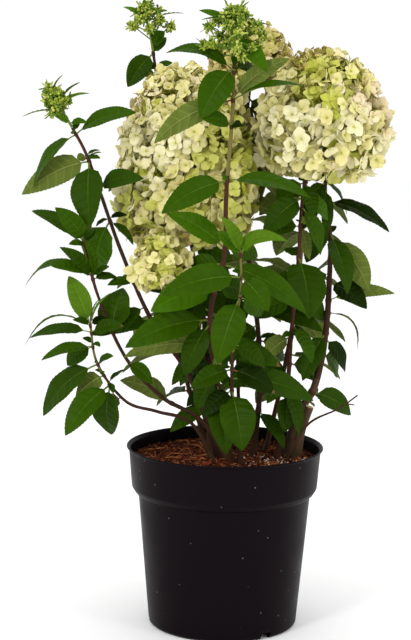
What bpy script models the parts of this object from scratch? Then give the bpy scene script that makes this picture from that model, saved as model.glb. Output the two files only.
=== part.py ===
"""Panicle hydrangea grown as a shrub in a round nursery pot.

Thirteen canes rise from the potting mix. Each carries one leafy shoot, and the shoots end in
cream flower heads, in young green bud panicles or in a rosette of leaves. The origin is the
centre of the pot's underside, +Z is up and the side that is looked at faces -Y.
"""

import math
import random
from collections import namedtuple

import bmesh
import bpy
import numpy as np
from mathutils import Vector
from mathutils.bvhtree import BVHTree

MM = 0.001
GAP = 0.0003
SEED = 11

# Pot: a thin moulded wall with a deep collar, a rolled lip and a flat base
RIM_RADIUS = 0.110
POT_HEIGHT = 0.203
LIP_DEPTH = 0.0035
LIP_ROUNDING = 0.0016
COLLAR_TOP_RADIUS = 0.1070
COLLAR_FOOT_RADIUS = 0.1035
COLLAR_FOOT_HEIGHT = 0.157
BODY_TOP_RADIUS = 0.0960
BODY_TOP_HEIGHT = 0.149
BASE_RADIUS = 0.0830
BASE_ROUNDING = 0.003
WALL = 0.0020
FLOOR = 0.0030
POT_SIDES = 30
NOTCH_ANGLES = (-55.0, 65.0, 185.0)
NOTCH_WIDTH = 0.012
NOTCH_HEIGHT = 0.007
NOTCH_DEPTH = 0.012
DRAIN_HOLES = 4
DRAIN_RING_RADIUS = 0.048
DRAIN_RADIUS = 0.006
DRAIN_SIDES = 8
CUT_THROUGH = 0.010

# Potting mix: fills the pot to 15 mm under its rim
MIX_TOP = 0.188
MIX_CLEARANCE = 0.0004

# Canes and stems
CANE_SIDES = 6
STEM_SIDES = 5
TWIG_SIDES = 3
RING_SPACING = 0.036
FLARE = 0.55
FLARE_HEIGHT = 0.012
SPAN_STEPS = 10
WAY_STEP = 0.002

# Leaves: places along the leaf, as shares of its length, and the share of full width there
LEAF_STATIONS = ((0.0, 0.0), (0.11, 0.0), (0.38, 1.0), (0.73, 0.76))
PETIOLE_HALF_WIDTH = 0.0012
PETIOLE_THICKNESS = 0.0017
LEAF_THICKNESS = 0.015
LEAF_FOLD = 0.22
LEAF_ARCH = 0.10
LEAF_BOW = (0.6, 0.8)
ROOM = 0.0006
TRIES = 24
TRY_REACH = 0.030
SHORTEST = 0.75

# Flower heads: a core and the florets that stand out of it
CORE_SHARE = 0.80
CORE_SIDES = 10
FLORET_RADIUS = 0.0185
FLORET_SPACING = 0.0375
FLORET_CUP = 0.20
FLORET_SEPALS = 4
FLORET_LEAN = 0.25
FULL_SIZE_HEAD = 50.0
SMALLEST_FLORET = 0.70
FLORET_STALK = 0.012
HEAD_WIDEST = 0.24
HEAD_FOOT = 0.76
HEAD_UNDERSIDE = (0.45, 0.02)
HEAD_DOME = (2.2, 0.625)
HEAD_STEPS = 24
CORE_STEPS = (0, 1, 5, 11, 17, 21)
STALK_END = 0.45
STALK_BEND = 0.5
GOLDEN_ANGLE = math.pi * (3.0 - math.sqrt(5.0))

# Bud panicles: the last cluster's place as a share of the stem, how much shorter the side
# twigs are there, and how steeply they rise
BUD_RADIUS = 0.0062
PANICLE_BEND = 0.010
PANICLE_END = 0.87
PANICLE_TAPER = 0.85
BUD_TWIG_RISE = 0.45
BUD_TWIG_FOOT = 0.004

# Leaves in front turn their upper sides to the viewer and a little outwards, those further
# back than this turn them wholly outwards
VIEWER = np.array([0.0, -0.98, 0.20])
OUTWARD_SHARE = 0.4
BACK_HALF = 0.045
BACK_RISE = 0.6
UP = np.array([0.0, 0.0, 1.0])

# A leaf: how far its tip lies from its node in mm (to the right, backwards, up), its width
# in mm and its turn in degrees: 0 shows its upper side, 90 its edge, 180 its underside.
# A sixth number, where there is one, is the height of its arch in mm.
# A shoot: the points in mm its stem runs through, its radius in mm at the foot and at the
# tip, the height in mm where the bare cane ends, and its leaf nodes, each with the height
# in mm on the stem and the leaves there.
Shoot = namedtuple("Shoot", "name route foot_radius tip_radius bare nodes")

SHOOTS = (
    Shoot(
        "tall_left",
        ((-7, -4, 188), (-40, -10, 280), (-82, -20, 344), (-116, -30, 421), (-152, -30, 520),
         (-170, -30, 555)),
        3.0, 1.6, 318,
        (
            (548, (-48, 32, -60, 20, 35), (66, -30, 26, 24, 72)),
            (523, (-17, -15, 8, 10, 150), (14, 12, 5, 7, 60)),
            (519, (-76, 36, -40, 30, 168), (3, -29, -68, 37, 0)),
            (491, (50, -40, 14, 20, 10), (-22, 14, -16, 14, 150)),
            (455, (-15, 26, -60, 38, 0), (26, -15, -24, 11, 60)),
            (388, (-28, -12, -2, 11, 70), (34, 15, -14, 11, 70)),
            (342, (-64, 28, -17, 23, 15), (34, 24, -14, 20, 10)),
        ),
    ),
    Shoot(
        "left",
        ((3, -13, 188), (-28, -14, 234), (-72, -16, 260), (-111, -30, 306), (-141, -42, 376),
         (-156, -50, 437)),
        2.6, 1.4, 246,
        (
            (434, (-59, 28, 30, 12, 115), (-30, -21, 39, 16, 140)),
            (433, (-8, -20, 46, 11, 165), (-3, 13, 31, 9, 60)),
            (431, (12, 16, 16, 12, 20), (-18, -15, 6, 9, 30)),
            (430, (14, -11, 22, 10, 60)),
            (399, (-75, 33, -20, 15, 55, 20), (-42, -18, 10, 14, 30)),
            (393, (-29, -23, 46, 13, 60), (29, 12, -5, 13, 40)),
            (334, (10, 22, 46, 40, 8), (-22, -19, 8, 13, 20)),
            (252, (-58, 16, 22, 25, 158), (9, 11, 10, 7, 30)),
        ),
    ),
    Shoot(
        "low_left",
        ((-12, -21, 188), (-38, -23, 232), (-76, -26, 245), (-110, -36, 258), (-140, -50, 301),
         (-148, -58, 346)),
        2.2, 1.2, 256,
        (
            (345, (-25, 23, 50, 23, 10), (23, -19, 38, 10, 60)),
            (344, (-68, -30, -18, 8, 72, 22), (-1, 16, 38, 7, 60)),
            (337, (-69, 29, -12, 15, 35), (35, -15, 10, 16, 20)),
            (321, (-54, -23, -12, 16, 35), (-29, 16, -24, 20, 0)),
            (301, (-62, 38, -66, 28, 14), (18, -17, 12, 11, 40)),
            (288, (-32, 18, -28, 22, 168)),
            (277, (0, 26, -61, 32, 0), (-47, -29, -51, 30, 10)),
        ),
    ),
    Shoot(
        "back_left",
        ((-3, 21, 188), (-35, 85, 330), (-62, 112, 460), (-76, 100, 560), (-87, 68, 636)),
        3.0, 1.6, 300,
        (
            (633, (-28, -12, -37, 24, 0), (14, 10, 18, 14, 20)),
            (611, (-21, -4, -4, 9, 150)),
            (560, (-44, 60, -20, 36, 30)),
            (505, (-70, 28, -34, 38, 30), (34, 70, -30, 38, 30)),
            (452, (-40, 66, -34, 40, 30), (60, 50, -30, 36, 30)),
            (400, (-72, 20, -36, 38, 30)),
            (350, (48, 48, -44, 36, 30)),
        ),
    ),
    Shoot(
        "front",
        ((7, -26, 188), (-7, -40, 262), (-19, -55, 352), (-5, -76, 423), (-4, -92, 490),
         (1, -90, 574), (2, -82, 628)),
        3.4, 1.8, 272,
        (
            (624, (-34, -21, -53, 33, 8), (26, 30, -8, 16, 40)),
            (619, (-72, 12, 18, 11, 72, 14)),
            (590, (-81, -31, -44, 24, 172), (70, -24, 17, 20, 70)),
            (563, (-31, -12, 8, 18, 30), (13, -9, 12, 12, 30)),
            (506, (-68, -26, -33, 27, 6), (86, -30, -14, 22, 45)),
            (432, (-62, 20, 35, 24, 20), (36, 40, -12, 24, 10)),
            (415, (90, 6, -52, 25, 18), (-40, 30, -12, 22, 10)),
            (388, (-69, -25, -22, 34, 12), (30, 40, -10, 26, 10)),
            (352, (-90, -32, -26, 32, 12), (40, 38, -16, 24, 10)),
            (322, (76, -27, -27, 27, 18), (-95, 6, -14, 24, 164)),
            (300, (27, -22, -26, 14, 18), (-28, 24, -10, 18, 10)),
            (280, (14, -29, -84, 23, 45)),
        ),
    ),
    Shoot(
        "front_low",
        ((18, -34, 188), (6, -58, 275), (8, -84, 350), (13, -98, 392), (12, -104, 432)),
        2.4, 1.2, 262,
        (
            (431, (-21, -15, 40, 8, 50), (13, -13, 36, 11, 40)),
            (429, (55, -19, 16, 17, 30, 14), (-25, 8, 24, 13, 20)),
            (405, (-83, -29, -16, 31, 8), (29, -16, -33, 25, 0)),
            (383, (-23, -24, -67, 34, 0), (24, 34, -24, 24, 0)),
            (300, (46, -17, -22, 24, 20), (-44, -16, -18, 22, 20)),
            (276, (12, -30, -60, 38, 0), (-30, -14, -30, 20, 20)),
        ),
    ),
    Shoot(
        "back_centre",
        ((32, 8, 188), (38, 12, 262), (35, 22, 330), (24, 46, 407), (18, 68, 480),
         (18, 78, 545), (22, 66, 596)),
        3.2, 1.8, 232,
        (
            (560, (26, 46, 20, 20, 20), (-20, 52, 24, 20, 20)),
            (500, (40, 40, -30, 30, 20), (-38, 44, -26, 30, 20)),
            (468, (42, -26, -18, 28, 8), (-40, 34, -14, 26, 20)),
            (405, (52, 30, -20, 28, 20), (-56, 20, -24, 28, 20)),
            (352, (76, -34, -25, 27, 18), (-42, 36, -22, 28, 20)),
            (318, (30, 46, -30, 28, 20), (-44, 16, -26, 26, 20)),
            (285, (68, -24, -30, 24, 32), (-34, -12, -18, 20, 20)),
            (240, (34, -30, -42, 20, 8), (-24, 24, -14, 18, 20)),
        ),
    ),
    Shoot(
        "right",
        ((58, -4, 188), (68, -2, 262), (71, -4, 326), (77, -10, 416), (80, -10, 483),
         (88, -6, 512)),
        2.8, 1.8, 252,
        (
            (498, (8, -22, -36, 18, 10), (-30, 30, -24, 22, 20)),
            (482, (-43, -20, -38, 27, 8), (30, 30, -28, 20, 20)),
            (450, (6, 8, -44, 15, 160), (-34, 14, -8, 18, 20)),
            (416, (11, -40, -62, 45, 0), (-20, 14, 14, 18, 10)),
            (368, (-44, 30, -24, 26, 20), (36, 32, -26, 24, 20)),
            (327, (-30, -13, -26, 23, 162), (14, 22, 6, 12, 20)),
            (296, (34, 40, -26, 26, 20)),
            (262, (9, -17, -50, 27, 12), (30, 26, -20, 18, 20)),
        ),
    ),
    Shoot(
        "far_right",
        ((66, 12, 188), (84, 11, 240), (100, 11, 272), (111, 18, 334), (114, 30, 427),
         (108, 32, 470), (107, 34, 498)),
        5.0, 1.8, 250,
        (
            (496, (26, 20, -39, 14, 48), (-22, -16, -30, 18, 10)),
            (474, (69, -32, -30, 23, 28), (-2, 23, -54, 12, 55)),
            (434, (24, 29, -66, 26, 6), (42, -29, -55, 30, 164)),
            (410, (-20, 50, -26, 28, 20), (40, 46, -20, 30, 20)),
            (384, (-16, 17, -36, 22, 20), (41, -20, -26, 27, 8)),
            (364, (82, -35, 20, 19, 164)),
            (350, (36, 24, -45, 9, 72, 16), (-20, 44, -24, 24, 20)),
            (328, (-26, -24, -50, 23, 26)),
            (304, (20, 44, -34, 26, 20)),
            (262, (46, 23, -30, 25, 8), (8, 34, -12, 16, 20)),
        ),
    ),
    Shoot(
        "left_centre",
        ((-17, 9, 188), (-21, 16, 300), (-34, 24, 390), (-46, 24, 448)),
        3.0, 2.0, 232,
        (
            (425, (-58, 30, -20, 30, 20), (46, 10, -20, 28, 10)),
            (396, (-52, -14, -12, 30, 10), (40, 30, -16, 28, 20)),
            (362, (-40, 40, -26, 30, 20), (-20, -40, -34, 28, 10)),
            (332, (-24, -20, -38, 30, 0), (28, 34, -20, 26, 20)),
            (302, (-30, -2, -36, 24, 18), (22, 28, -16, 20, 20)),
            (286, (-29, -14, -8, 18, 18)),
            (243, (-43, -14, -26, 20, 10)),
        ),
    ),
    Shoot(
        "rear_left",
        ((-18, 30, 188), (-44, 66, 262), (-66, 120, 350), (-44, 152, 430), (-36, 156, 500)),
        2.8, 1.8, 236,
        (
            (480, (-56, 36, -34, 36, 30), (52, 42, -30, 36, 30)),
            (436, (-34, 62, -40, 38, 30), (24, -34, 14, 18, 30)),
            (390, (-72, 22, -36, 38, 30), (60, 36, -42, 36, 30)),
            (340, (-40, 58, -48, 38, 30), (34, 58, -44, 34, 30)),
            (292, (-66, 26, -30, 34, 30), (24, 52, -38, 34, 30)),
            (252, (-38, 36, -26, 28, 30), (16, 40, -20, 24, 30)),
        ),
    ),
    Shoot(
        "rear_right",
        ((46, 30, 188), (66, 70, 270), (82, 112, 360), (88, 132, 430), (88, 134, 486)),
        2.8, 1.8, 236,
        (
            (470, (54, 38, -36, 36, 30), (-50, 44, -28, 34, 30)),
            (428, (66, -10, -36, 34, 30), (-28, 64, -36, 36, 30)),
            (384, (58, 46, -40, 38, 30), (-62, 30, -30, 36, 30)),
            (338, (34, 62, -46, 38, 30), (60, -2, -34, 32, 30)),
            (292, (64, 30, -34, 34, 30), (-44, 46, -36, 34, 30)),
            (252, (42, 34, -24, 28, 30), (-26, 42, -22, 26, 30)),
        ),
    ),
    Shoot(
        "rear_centre",
        ((18, 34, 188), (14, 84, 280), (14, 128, 370), (22, 150, 440), (22, 152, 478)),
        2.4, 1.3, 236,
        (
            (477, (-26, 30, 52, 22, 30), (34, 24, 48, 22, 30)),
            (472, (10, 54, 30, 24, 30)),
            (440, (56, 34, -24, 34, 30), (-48, 46, -26, 34, 30)),
            (396, (10, 74, -36, 38, 30), (-8, -40, 20, 20, 30)),
            (350, (-58, 40, -36, 36, 30), (52, 46, -34, 36, 30)),
            (300, (14, 66, -40, 36, 30), (-46, 30, -30, 30, 30)),
            (256, (40, 42, -26, 30, 30), (-30, 42, -26, 26, 30)),
        ),
    ),
)

# A flower head: the shoot that carries it, the centre of its foot in mm, its height and its
# radius in mm, how far its top leans in mm, and the colour of its florets.
Head = namedtuple("Head", "name carrier foot height radius lean colour")

HEADS = (
    Head("flower_head_left", "left_centre", (-50, 22, 446), 180, 80, (8, 0), "cream_floret"),
    Head("flower_head_right", "right", (100, 0, 508), 138, 80, (0, 0), "lime_floret"),
    Head("flower_head_top", "back_centre", (23, 64, 604), 68, 48, (0, 0), "straw_floret"),
    Head("flower_head_low", "", (-70, -48, 384), 66, 32, (-4, 0), "cream_floret"),
    Head("flower_head_rear_left", "rear_left", (-36, 156, 506), 92, 58, (0, 4), "cream_floret"),
    Head("flower_head_rear_right", "rear_right", (88, 134, 492), 100, 60, (2, 4), "lime_floret"),
)

# The small low head hangs on a side twig of the tall left shoot
LOW_TWIG_HEIGHT = 384
LOW_TWIG_RADIUS = 1.1
LOW_TWIG_END = 0.25

# A bud panicle: the shoot that carries it, its tip and its spread in mm, its buds, its rise
# as a share of its length where the buds begin, and its narrow leaves as in a shoot.
Panicle = namedtuple("Panicle", "name carrier tip spread buds start leaves")

PANICLES = (
    Panicle(
        "bud_panicle_left", "tall_left", (-197, -32, 598), 17, 13, 0.27,
        (
            (560, (-17, -8, 9, 9, 30), (20, -8, -1, 9, 30)),
            (572, (-44, -4, -6, 5, 75)),
            (580, (34, 4, 12, 6, 40), (24, -6, 24, 8, 60)),
            (590, (12, -4, 22, 5, 60)),
        ),
    ),
    Panicle(
        "bud_panicle_back", "back_left", (-96, 58, 688), 30, 14, 0.18,
        (
            (642, (14, -8, 16, 16, 10)),
            (668, (-28, -4, 16, 8, 40), (40, 2, 10, 4, 75)),
            (676, (-4, -6, 16, 10, 10)),
        ),
    ),
    Panicle(
        "bud_panicle_front", "front", (3, -80, 686), 34, 19, 0.20,
        (
            (654, (34, -16, -34, 18, 6)),
            (664, (-38, -8, 18, 9, 30), (36, 4, 4, 5, 75)),
            (670, (14, -4, 22, 5, 60), (-36, -2, 2, 5, 60)),
        ),
    ),
)

# The sawn stub beside the old cane and the bare twig in front of it
STUB_ROUTE = ((79, -7, 188), (84, -9, 222), (93, -12, 250))
STUB_RADIUS = (6.0, 4.6)
TWIG_ROUTE = ((66, -24, 188), (90, -26, 232), (124, -30, 252), (144, -34, 268))
TWIG_RADIUS = (1.7, 0.8)
FORK_START = 0.86
FORK_REACH = (9.0, 0.0, -1.0)

COLOURS = {
    "pot_plastic": ((0.021, 0.018, 0.021), 0.42),
    "potting_mix": ((0.130, 0.052, 0.030), 0.95),
    "cane_bark": ((0.120, 0.052, 0.032), 0.75),
    "leaf_green": ((0.055, 0.170, 0.010), 0.50),
    "cream_floret": ((0.680, 0.690, 0.360), 0.75),
    "lime_floret": ((0.620, 0.670, 0.270), 0.75),
    "straw_floret": ((0.600, 0.550, 0.200), 0.80),
    "bud_green": ((0.230, 0.390, 0.040), 0.65),
}


def clear_scene():
    for item in list(bpy.data.objects):
        bpy.data.objects.remove(item, do_unlink=True)


def material(name):
    """The Principled material of this name, made on first use."""
    found = bpy.data.materials.get(name)
    if found:
        return found
    colour, roughness = COLOURS[name]
    made = bpy.data.materials.new(name)
    made.use_nodes = True
    shader = made.node_tree.nodes["Principled BSDF"]
    shader.inputs["Base Color"].default_value = (*colour, 1.0)
    shader.inputs["Roughness"].default_value = roughness
    shader.inputs["Metallic"].default_value = 0.0
    made.diffuse_color = (*colour, 1.0)
    return made


def make_object(name, shape, material_name):
    """An object from (vertices, faces), with its normals turned outwards."""
    vertices, faces = shape
    mesh = bpy.data.meshes.new(name)
    mesh.from_pydata([tuple(v) for v in vertices], [], faces)
    edit = bmesh.new()
    edit.from_mesh(mesh)
    bmesh.ops.recalc_face_normals(edit, faces=edit.faces)
    if edit.calc_volume(signed=True) < 0.0:
        bmesh.ops.reverse_faces(edit, faces=edit.faces)
    edit.to_mesh(mesh)
    edit.free()
    mesh.materials.append(material(material_name))
    made = bpy.data.objects.new(name, mesh)
    bpy.context.scene.collection.objects.link(made)
    return made


def smooth(item, angle=40.0):
    item.data.shade_smooth()
    item.data.set_sharp_from_angle(angle=math.radians(angle))


def unit(vector):
    return vector / np.linalg.norm(vector)


def reject(vector, axis):
    """The unit part of a vector that stands square to a unit axis."""
    return unit(vector - axis * np.dot(vector, axis))


def square_axes(axis):
    """Two unit vectors square to an axis and to each other."""
    helper = np.zeros(3)
    helper[np.argmin(np.abs(axis))] = 1.0
    first = reject(helper, axis)
    return first, np.cross(axis, first)


def curve_through(points):
    """A smooth curve through points in mm, as places in metres."""
    known = np.array(points, dtype=float) * MM
    known = np.vstack([2 * known[0] - known[1], known, 2 * known[-1] - known[-2]])
    share = np.linspace(0.0, 1.0, SPAN_STEPS, endpoint=False)[:, None]
    spans = []
    for a, b, c, d in zip(known, known[1:], known[2:], known[3:]):
        curve = 2 * b + (c - a) * share + (2 * a - 5 * b + 4 * c - d) * share**2
        spans.append(0.5 * (curve + (3 * b - a - 3 * c + d) * share**3))
    return np.vstack(spans + [known[-2:-1]])


def distances(curve):
    steps = np.linalg.norm(np.diff(curve, axis=0), axis=1)
    return np.concatenate([[0.0], np.cumsum(steps)])


def at_distance(curve, where):
    along = distances(curve)
    return np.stack([np.interp(where, along, curve[:, i]) for i in range(3)], axis=-1)


def distance_at_height(curve, height):
    return float(np.interp(height, curve[:, 2], distances(curve)))


def way_at(curve, where):
    """The way a curve runs at some distances along it."""
    return at_distance(curve, where + WAY_STEP) - at_distance(curve, where - WAY_STEP)


def ring_places(start, end):
    """Even distances from start to end, about one ring apart."""
    return np.linspace(start, end, max(2, round((end - start) / RING_SPACING) + 1))


def tube(path, ways, radii, sides):
    """A closed tapering tube along a path, with flat ends square to its ways."""
    rings = []
    for place, way, radius in zip(path, ways, radii):
        axis = unit(way)
        if abs(axis[1]) < 0.9:
            first = reject(np.array([0.0, 1.0, 0.0]), axis)
        else:
            first = reject(np.array([1.0, 0.0, 0.0]), axis)
        second = np.cross(axis, first)
        turn = np.linspace(0.0, 2.0 * math.pi, sides, endpoint=False)[:, None]
        rings.append(place + radius * (np.cos(turn) * first + np.sin(turn) * second))
    faces = [list(range(sides))]
    for ring in range(len(path) - 1):
        for side in range(sides):
            near = ring * sides
            following = (side + 1) % sides
            faces.append([near + side, near + following, near + sides + following,
                          near + sides + side])
    last = (len(path) - 1) * sides
    faces.append([last + side for side in range(sides)])
    return np.vstack(rings), faces


def turned(profile, sides):
    """A closed solid turned about the Z axis from (radius, height) pairs, pole to pole."""
    vertices = [(0.0, 0.0, profile[0][1])]
    for radius, height in profile[1:-1]:
        for side in range(sides):
            angle = 2.0 * math.pi * side / sides
            vertices.append((radius * math.cos(angle), radius * math.sin(angle), height))
    vertices.append((0.0, 0.0, profile[-1][1]))
    last = len(vertices) - 1
    rings = len(profile) - 2
    faces = []
    for side in range(sides):
        following = (side + 1) % sides
        faces.append([0, 1 + following, 1 + side])
        faces.append([last, last - sides + side, last - sides + following])
        for ring in range(rings - 1):
            low = 1 + ring * sides
            faces.append([low + side, low + following, low + sides + following,
                          low + sides + side])
    return np.array(vertices), faces


def largest_body(mesh):
    """Keeps a mesh's largest connected body without folded slivers, and tells if it is closed."""
    edit = bmesh.new()
    edit.from_mesh(mesh)
    waiting = set(edit.faces)
    bodies = []
    while waiting:
        queue = [waiting.pop()]
        body = []
        while queue:
            face = queue.pop()
            body.append(face)
            for edge in face.edges:
                for near in edge.link_faces:
                    if near in waiting:
                        waiting.remove(near)
                        queue.append(near)
        bodies.append(body)
    bodies.sort(key=lambda body: sum(face.calc_area() for face in body))
    for body in bodies[:-1]:
        bmesh.ops.delete(edit, geom=body, context="FACES")
    bmesh.ops.triangulate(edit, faces=edit.faces)
    corners = {}
    for face in edit.faces:
        corners.setdefault(frozenset(face.verts), []).append(face)
    doubled = [face for faces in corners.values() if len(faces) > 1 for face in faces]
    bmesh.ops.delete(edit, geom=doubled, context="FACES")
    bmesh.ops.recalc_face_normals(edit, faces=edit.faces)
    is_closed = all(len(edge.link_faces) == 2 for edge in edit.edges)
    edit.to_mesh(mesh)
    edit.free()
    return is_closed


def fuse(name, shapes, material_name):
    """One closed body from overlapping closed shapes, the first of which is the stem."""
    base = make_object(name, shapes[0], material_name)
    group = bpy.data.collections.new(name + "_parts")
    bpy.context.scene.collection.children.link(group)
    for number, shape in enumerate(shapes[1:]):
        piece = make_object(f"{name}_part_{number}", shape, material_name)
        bpy.context.scene.collection.objects.unlink(piece)
        group.objects.link(piece)
    union = base.modifiers.new("union", "BOOLEAN")
    union.operation = "UNION"
    union.operand_type = "COLLECTION"
    union.collection = group
    for solver in ("EXACT", "MANIFOLD"):
        union.solver = solver
        bpy.context.view_layer.update()
        graph = bpy.context.evaluated_depsgraph_get()
        joined = bpy.data.meshes.new_from_object(base.evaluated_get(graph))
        if largest_body(joined):
            break
    base.modifiers.clear()
    base.data = joined
    for piece in list(group.objects):
        bpy.data.objects.remove(piece, do_unlink=True)
    bpy.data.collections.remove(group)
    smooth(base)
    return base


class Space:
    """Remembers the solids that are placed, to tell whether another one would touch them."""

    def __init__(self):
        self.placed = []

    def add(self, shape, owner):
        vertices, faces = shape
        tree = BVHTree.FromPolygons([Vector(v) for v in vertices], faces)
        self.placed.append((vertices.min(axis=0), vertices.max(axis=0), tree, owner))

    def free(self, shape, owner, own_shape=None):
        """Whether a shape touches nothing; own_shape is what is tested on its own node."""
        trees = {}
        for low, high, tree, holder in self.placed:
            tested = own_shape if holder == owner else shape
            if tested is None:
                continue
            vertices, faces = tested
            if (vertices.min(axis=0) > high).any() or (vertices.max(axis=0) < low).any():
                continue
            key = holder == owner
            if key not in trees:
                trees[key] = BVHTree.FromPolygons([Vector(v) for v in vertices], faces)
            if tree.overlap(trees[key]):
                return False
        return True


def leaf_axes(reach, turn, face):
    """The leaf's own axis, its upper side's normal and the way across it."""
    axis = unit(reach)
    toward = reject(face, axis)
    across = np.cross(axis, toward)
    if across[2] < 0.0:
        across = -across
    angle = math.radians(turn)
    normal = math.cos(angle) * toward + math.sin(angle) * across
    return axis, normal, np.cross(axis, normal)


def leaf_shape(root, reach, width, turn, arch, face, swell=0.0, blade_only=False):
    """A closed folded blade on its petiole, from a root inside the stem to a pointed tip."""
    length = np.linalg.norm(reach)
    axis, normal, across = leaf_axes(reach, turn, face)
    bow = reject(LEAF_BOW[0] * normal + LEAF_BOW[1] * UP, axis)
    rise = LEAF_ARCH * length if arch is None else arch
    thickness = max(PETIOLE_THICKNESS, LEAF_THICKNESS * length)
    first = 1 if blade_only else 0
    vertices = []
    for share, fullness in LEAF_STATIONS[first:]:
        half = max(PETIOLE_HALF_WIDTH, 0.5 * width * fullness) + swell
        thick = (thickness if fullness else PETIOLE_THICKNESS) + 2.0 * swell
        middle = root + reach * share + bow * rise * 4.0 * share * (1.0 - share)
        lift = normal * LEAF_FOLD * half * (1.0 if fullness else 0.0)
        vertices.append(middle - across * half + lift)
        vertices.append(middle + normal * 0.5 * thick)
        vertices.append(middle + across * half + lift)
        vertices.append(middle - normal * 0.5 * thick)
    vertices.append(root + reach + axis * swell)
    faces = [[3, 2, 1, 0]]
    for station in range(first, len(LEAF_STATIONS) - 1):
        near = (station - first) * 4
        for edge, ridge in ((0, 1), (2, 1), (2, 3), (0, 3)):
            if station == 0:
                faces.append([near + edge, near + ridge, near + 4 + ridge, near + 4 + edge])
            else:
                faces.append([near + edge, near + ridge, near + 4 + ridge])
                faces.append([near + edge, near + 4 + ridge, near + 4 + edge])
    tip = len(vertices) - 1
    for side in range(4):
        faces.append([tip - 4 + side, tip - 4 + (side + 1) % 4, tip])
    return np.array(vertices), faces


def place_leaf(space, owner, root, leaf, face, chance, crowded=False):
    """Finds room for a leaf near its wanted place and returns its solid, or None.

    A crowded leaf may run through its own node's other solids, with which it is fused.
    """
    wanted = np.array(leaf[:3]) * MM
    width = leaf[3] * MM
    turn = leaf[4]
    arch = leaf[5] * MM if len(leaf) > 5 else None
    length = np.linalg.norm(wanted)
    for attempt in range(TRIES):
        share = attempt / (TRIES - 1)
        shift = np.array([chance.uniform(-1.0, 1.0) for _ in range(3)]) * share * TRY_REACH
        size = length * (1.0 - (1.0 - SHORTEST) * share)
        reach = unit(wanted + shift) * size
        breadth = width * size / length
        shape = leaf_shape(root, reach, breadth, turn, arch, face)
        grown = leaf_shape(root, reach, breadth, turn, arch, face, ROOM)
        blade = None
        if not crowded:
            blade = leaf_shape(root, reach, breadth, turn, arch, face, ROOM, True)
        if space.free(grown, owner, blade) and space.free(shape, owner):
            space.add(shape, owner)
            return shape
    return None


def facing(root):
    """The side a leaf shows its upper face to: the viewer in front, outwards at the back."""
    outward = unit(np.array([root[0], root[1], 0.0]))
    if root[1] < BACK_HALF:
        return unit(VIEWER + OUTWARD_SHARE * outward)
    return unit(outward + BACK_RISE * UP)


def head_profile(head, scale):
    """The (radius, height) line of a flower head in metres, from under it to its top."""
    radius = head.radius * MM * scale
    height = head.height * MM
    share = np.linspace(0.0, 1.0, HEAD_STEPS)
    bowl = HEAD_FOOT + (1.0 - HEAD_FOOT) * np.sin(0.5 * math.pi * share / HEAD_WIDEST)
    above = np.abs(share - HEAD_WIDEST) / (1.0 - HEAD_WIDEST)
    dome = np.clip(1.0 - above ** HEAD_DOME[0], 0.0, 1.0) ** HEAD_DOME[1]
    swell = np.where(share < HEAD_WIDEST, bowl, dome)
    line = np.array([HEAD_UNDERSIDE] + list(zip(swell, share)))
    shrink = 0.5 * (1.0 - scale)
    line[:, 0] *= radius
    line[:, 1] = (shrink + line[:, 1] * scale) * height
    return line


def in_head(head, points):
    """Places of a flower head from points about its own foot."""
    lean = points[:, 2:3] / (head.height * MM) * np.array([[*head.lean, 0.0]]) * MM
    return points + lean + np.array(head.foot) * MM


def core_shape(head):
    line = head_profile(head, CORE_SHARE)
    profile = [(0.0, line[0, 1])]
    profile += [(float(line[i, 0]), float(line[i, 1])) for i in CORE_STEPS]
    profile.append((0.0, float(line[-1, 1])))
    vertices, faces = turned(profile, CORE_SIDES)
    return in_head(head, vertices), faces


def floret_shape(place, direction, radius, depth, spin):
    """A floret with a sepal at each corner, hollowed a little, on a cone down to its stalk."""
    first, second = square_axes(direction)
    vertices = []
    for sepal in range(FLORET_SEPALS):
        angle = spin + 2.0 * math.pi * sepal / FLORET_SEPALS
        out = radius * (math.cos(angle) * first + math.sin(angle) * second)
        vertices.append(place + out + direction * radius * FLORET_CUP)
    vertices.append(place)
    vertices.append(place - direction * depth)
    faces = []
    for sepal in range(FLORET_SEPALS):
        following = (sepal + 1) % FLORET_SEPALS
        faces.append([sepal, following, FLORET_SEPALS])
        faces.append([following, sepal, FLORET_SEPALS + 1])
    return np.array(vertices), faces


def floret_scale(head):
    """The florets of a head as a share of full size: small heads have smaller ones."""
    return min(1.0, max(SMALLEST_FLORET, head.radius / FULL_SIZE_HEAD))


def floret_sites(head, spacing):
    """Even places over a flower head and the way each looks outwards."""
    line = head_profile(head, 1.0)
    run = np.diff(line, axis=0)
    length = np.linalg.norm(run, axis=1)
    middle = 0.5 * (line[1:, 0] + line[:-1, 0])
    area = np.concatenate([[0.0], np.cumsum(2.0 * math.pi * middle * length)])
    count = int(area[-1] / spacing**2)
    sites = []
    for number in range(count):
        wanted = (number + 0.5) / count * area[-1]
        place = np.array([np.interp(wanted, area, line[:, i]) for i in range(2)])
        step = min(int(np.searchsorted(area, wanted)), len(run)) - 1
        slope = run[step] / length[step]
        angle = number * GOLDEN_ANGLE
        flat = np.array([math.cos(angle), math.sin(angle), 0.0])
        outward = unit(flat * slope[1] - UP * slope[0])
        point = flat * place[0] + UP * place[1]
        sites.append((in_head(head, point[None, :])[0], outward))
    return sites


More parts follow.
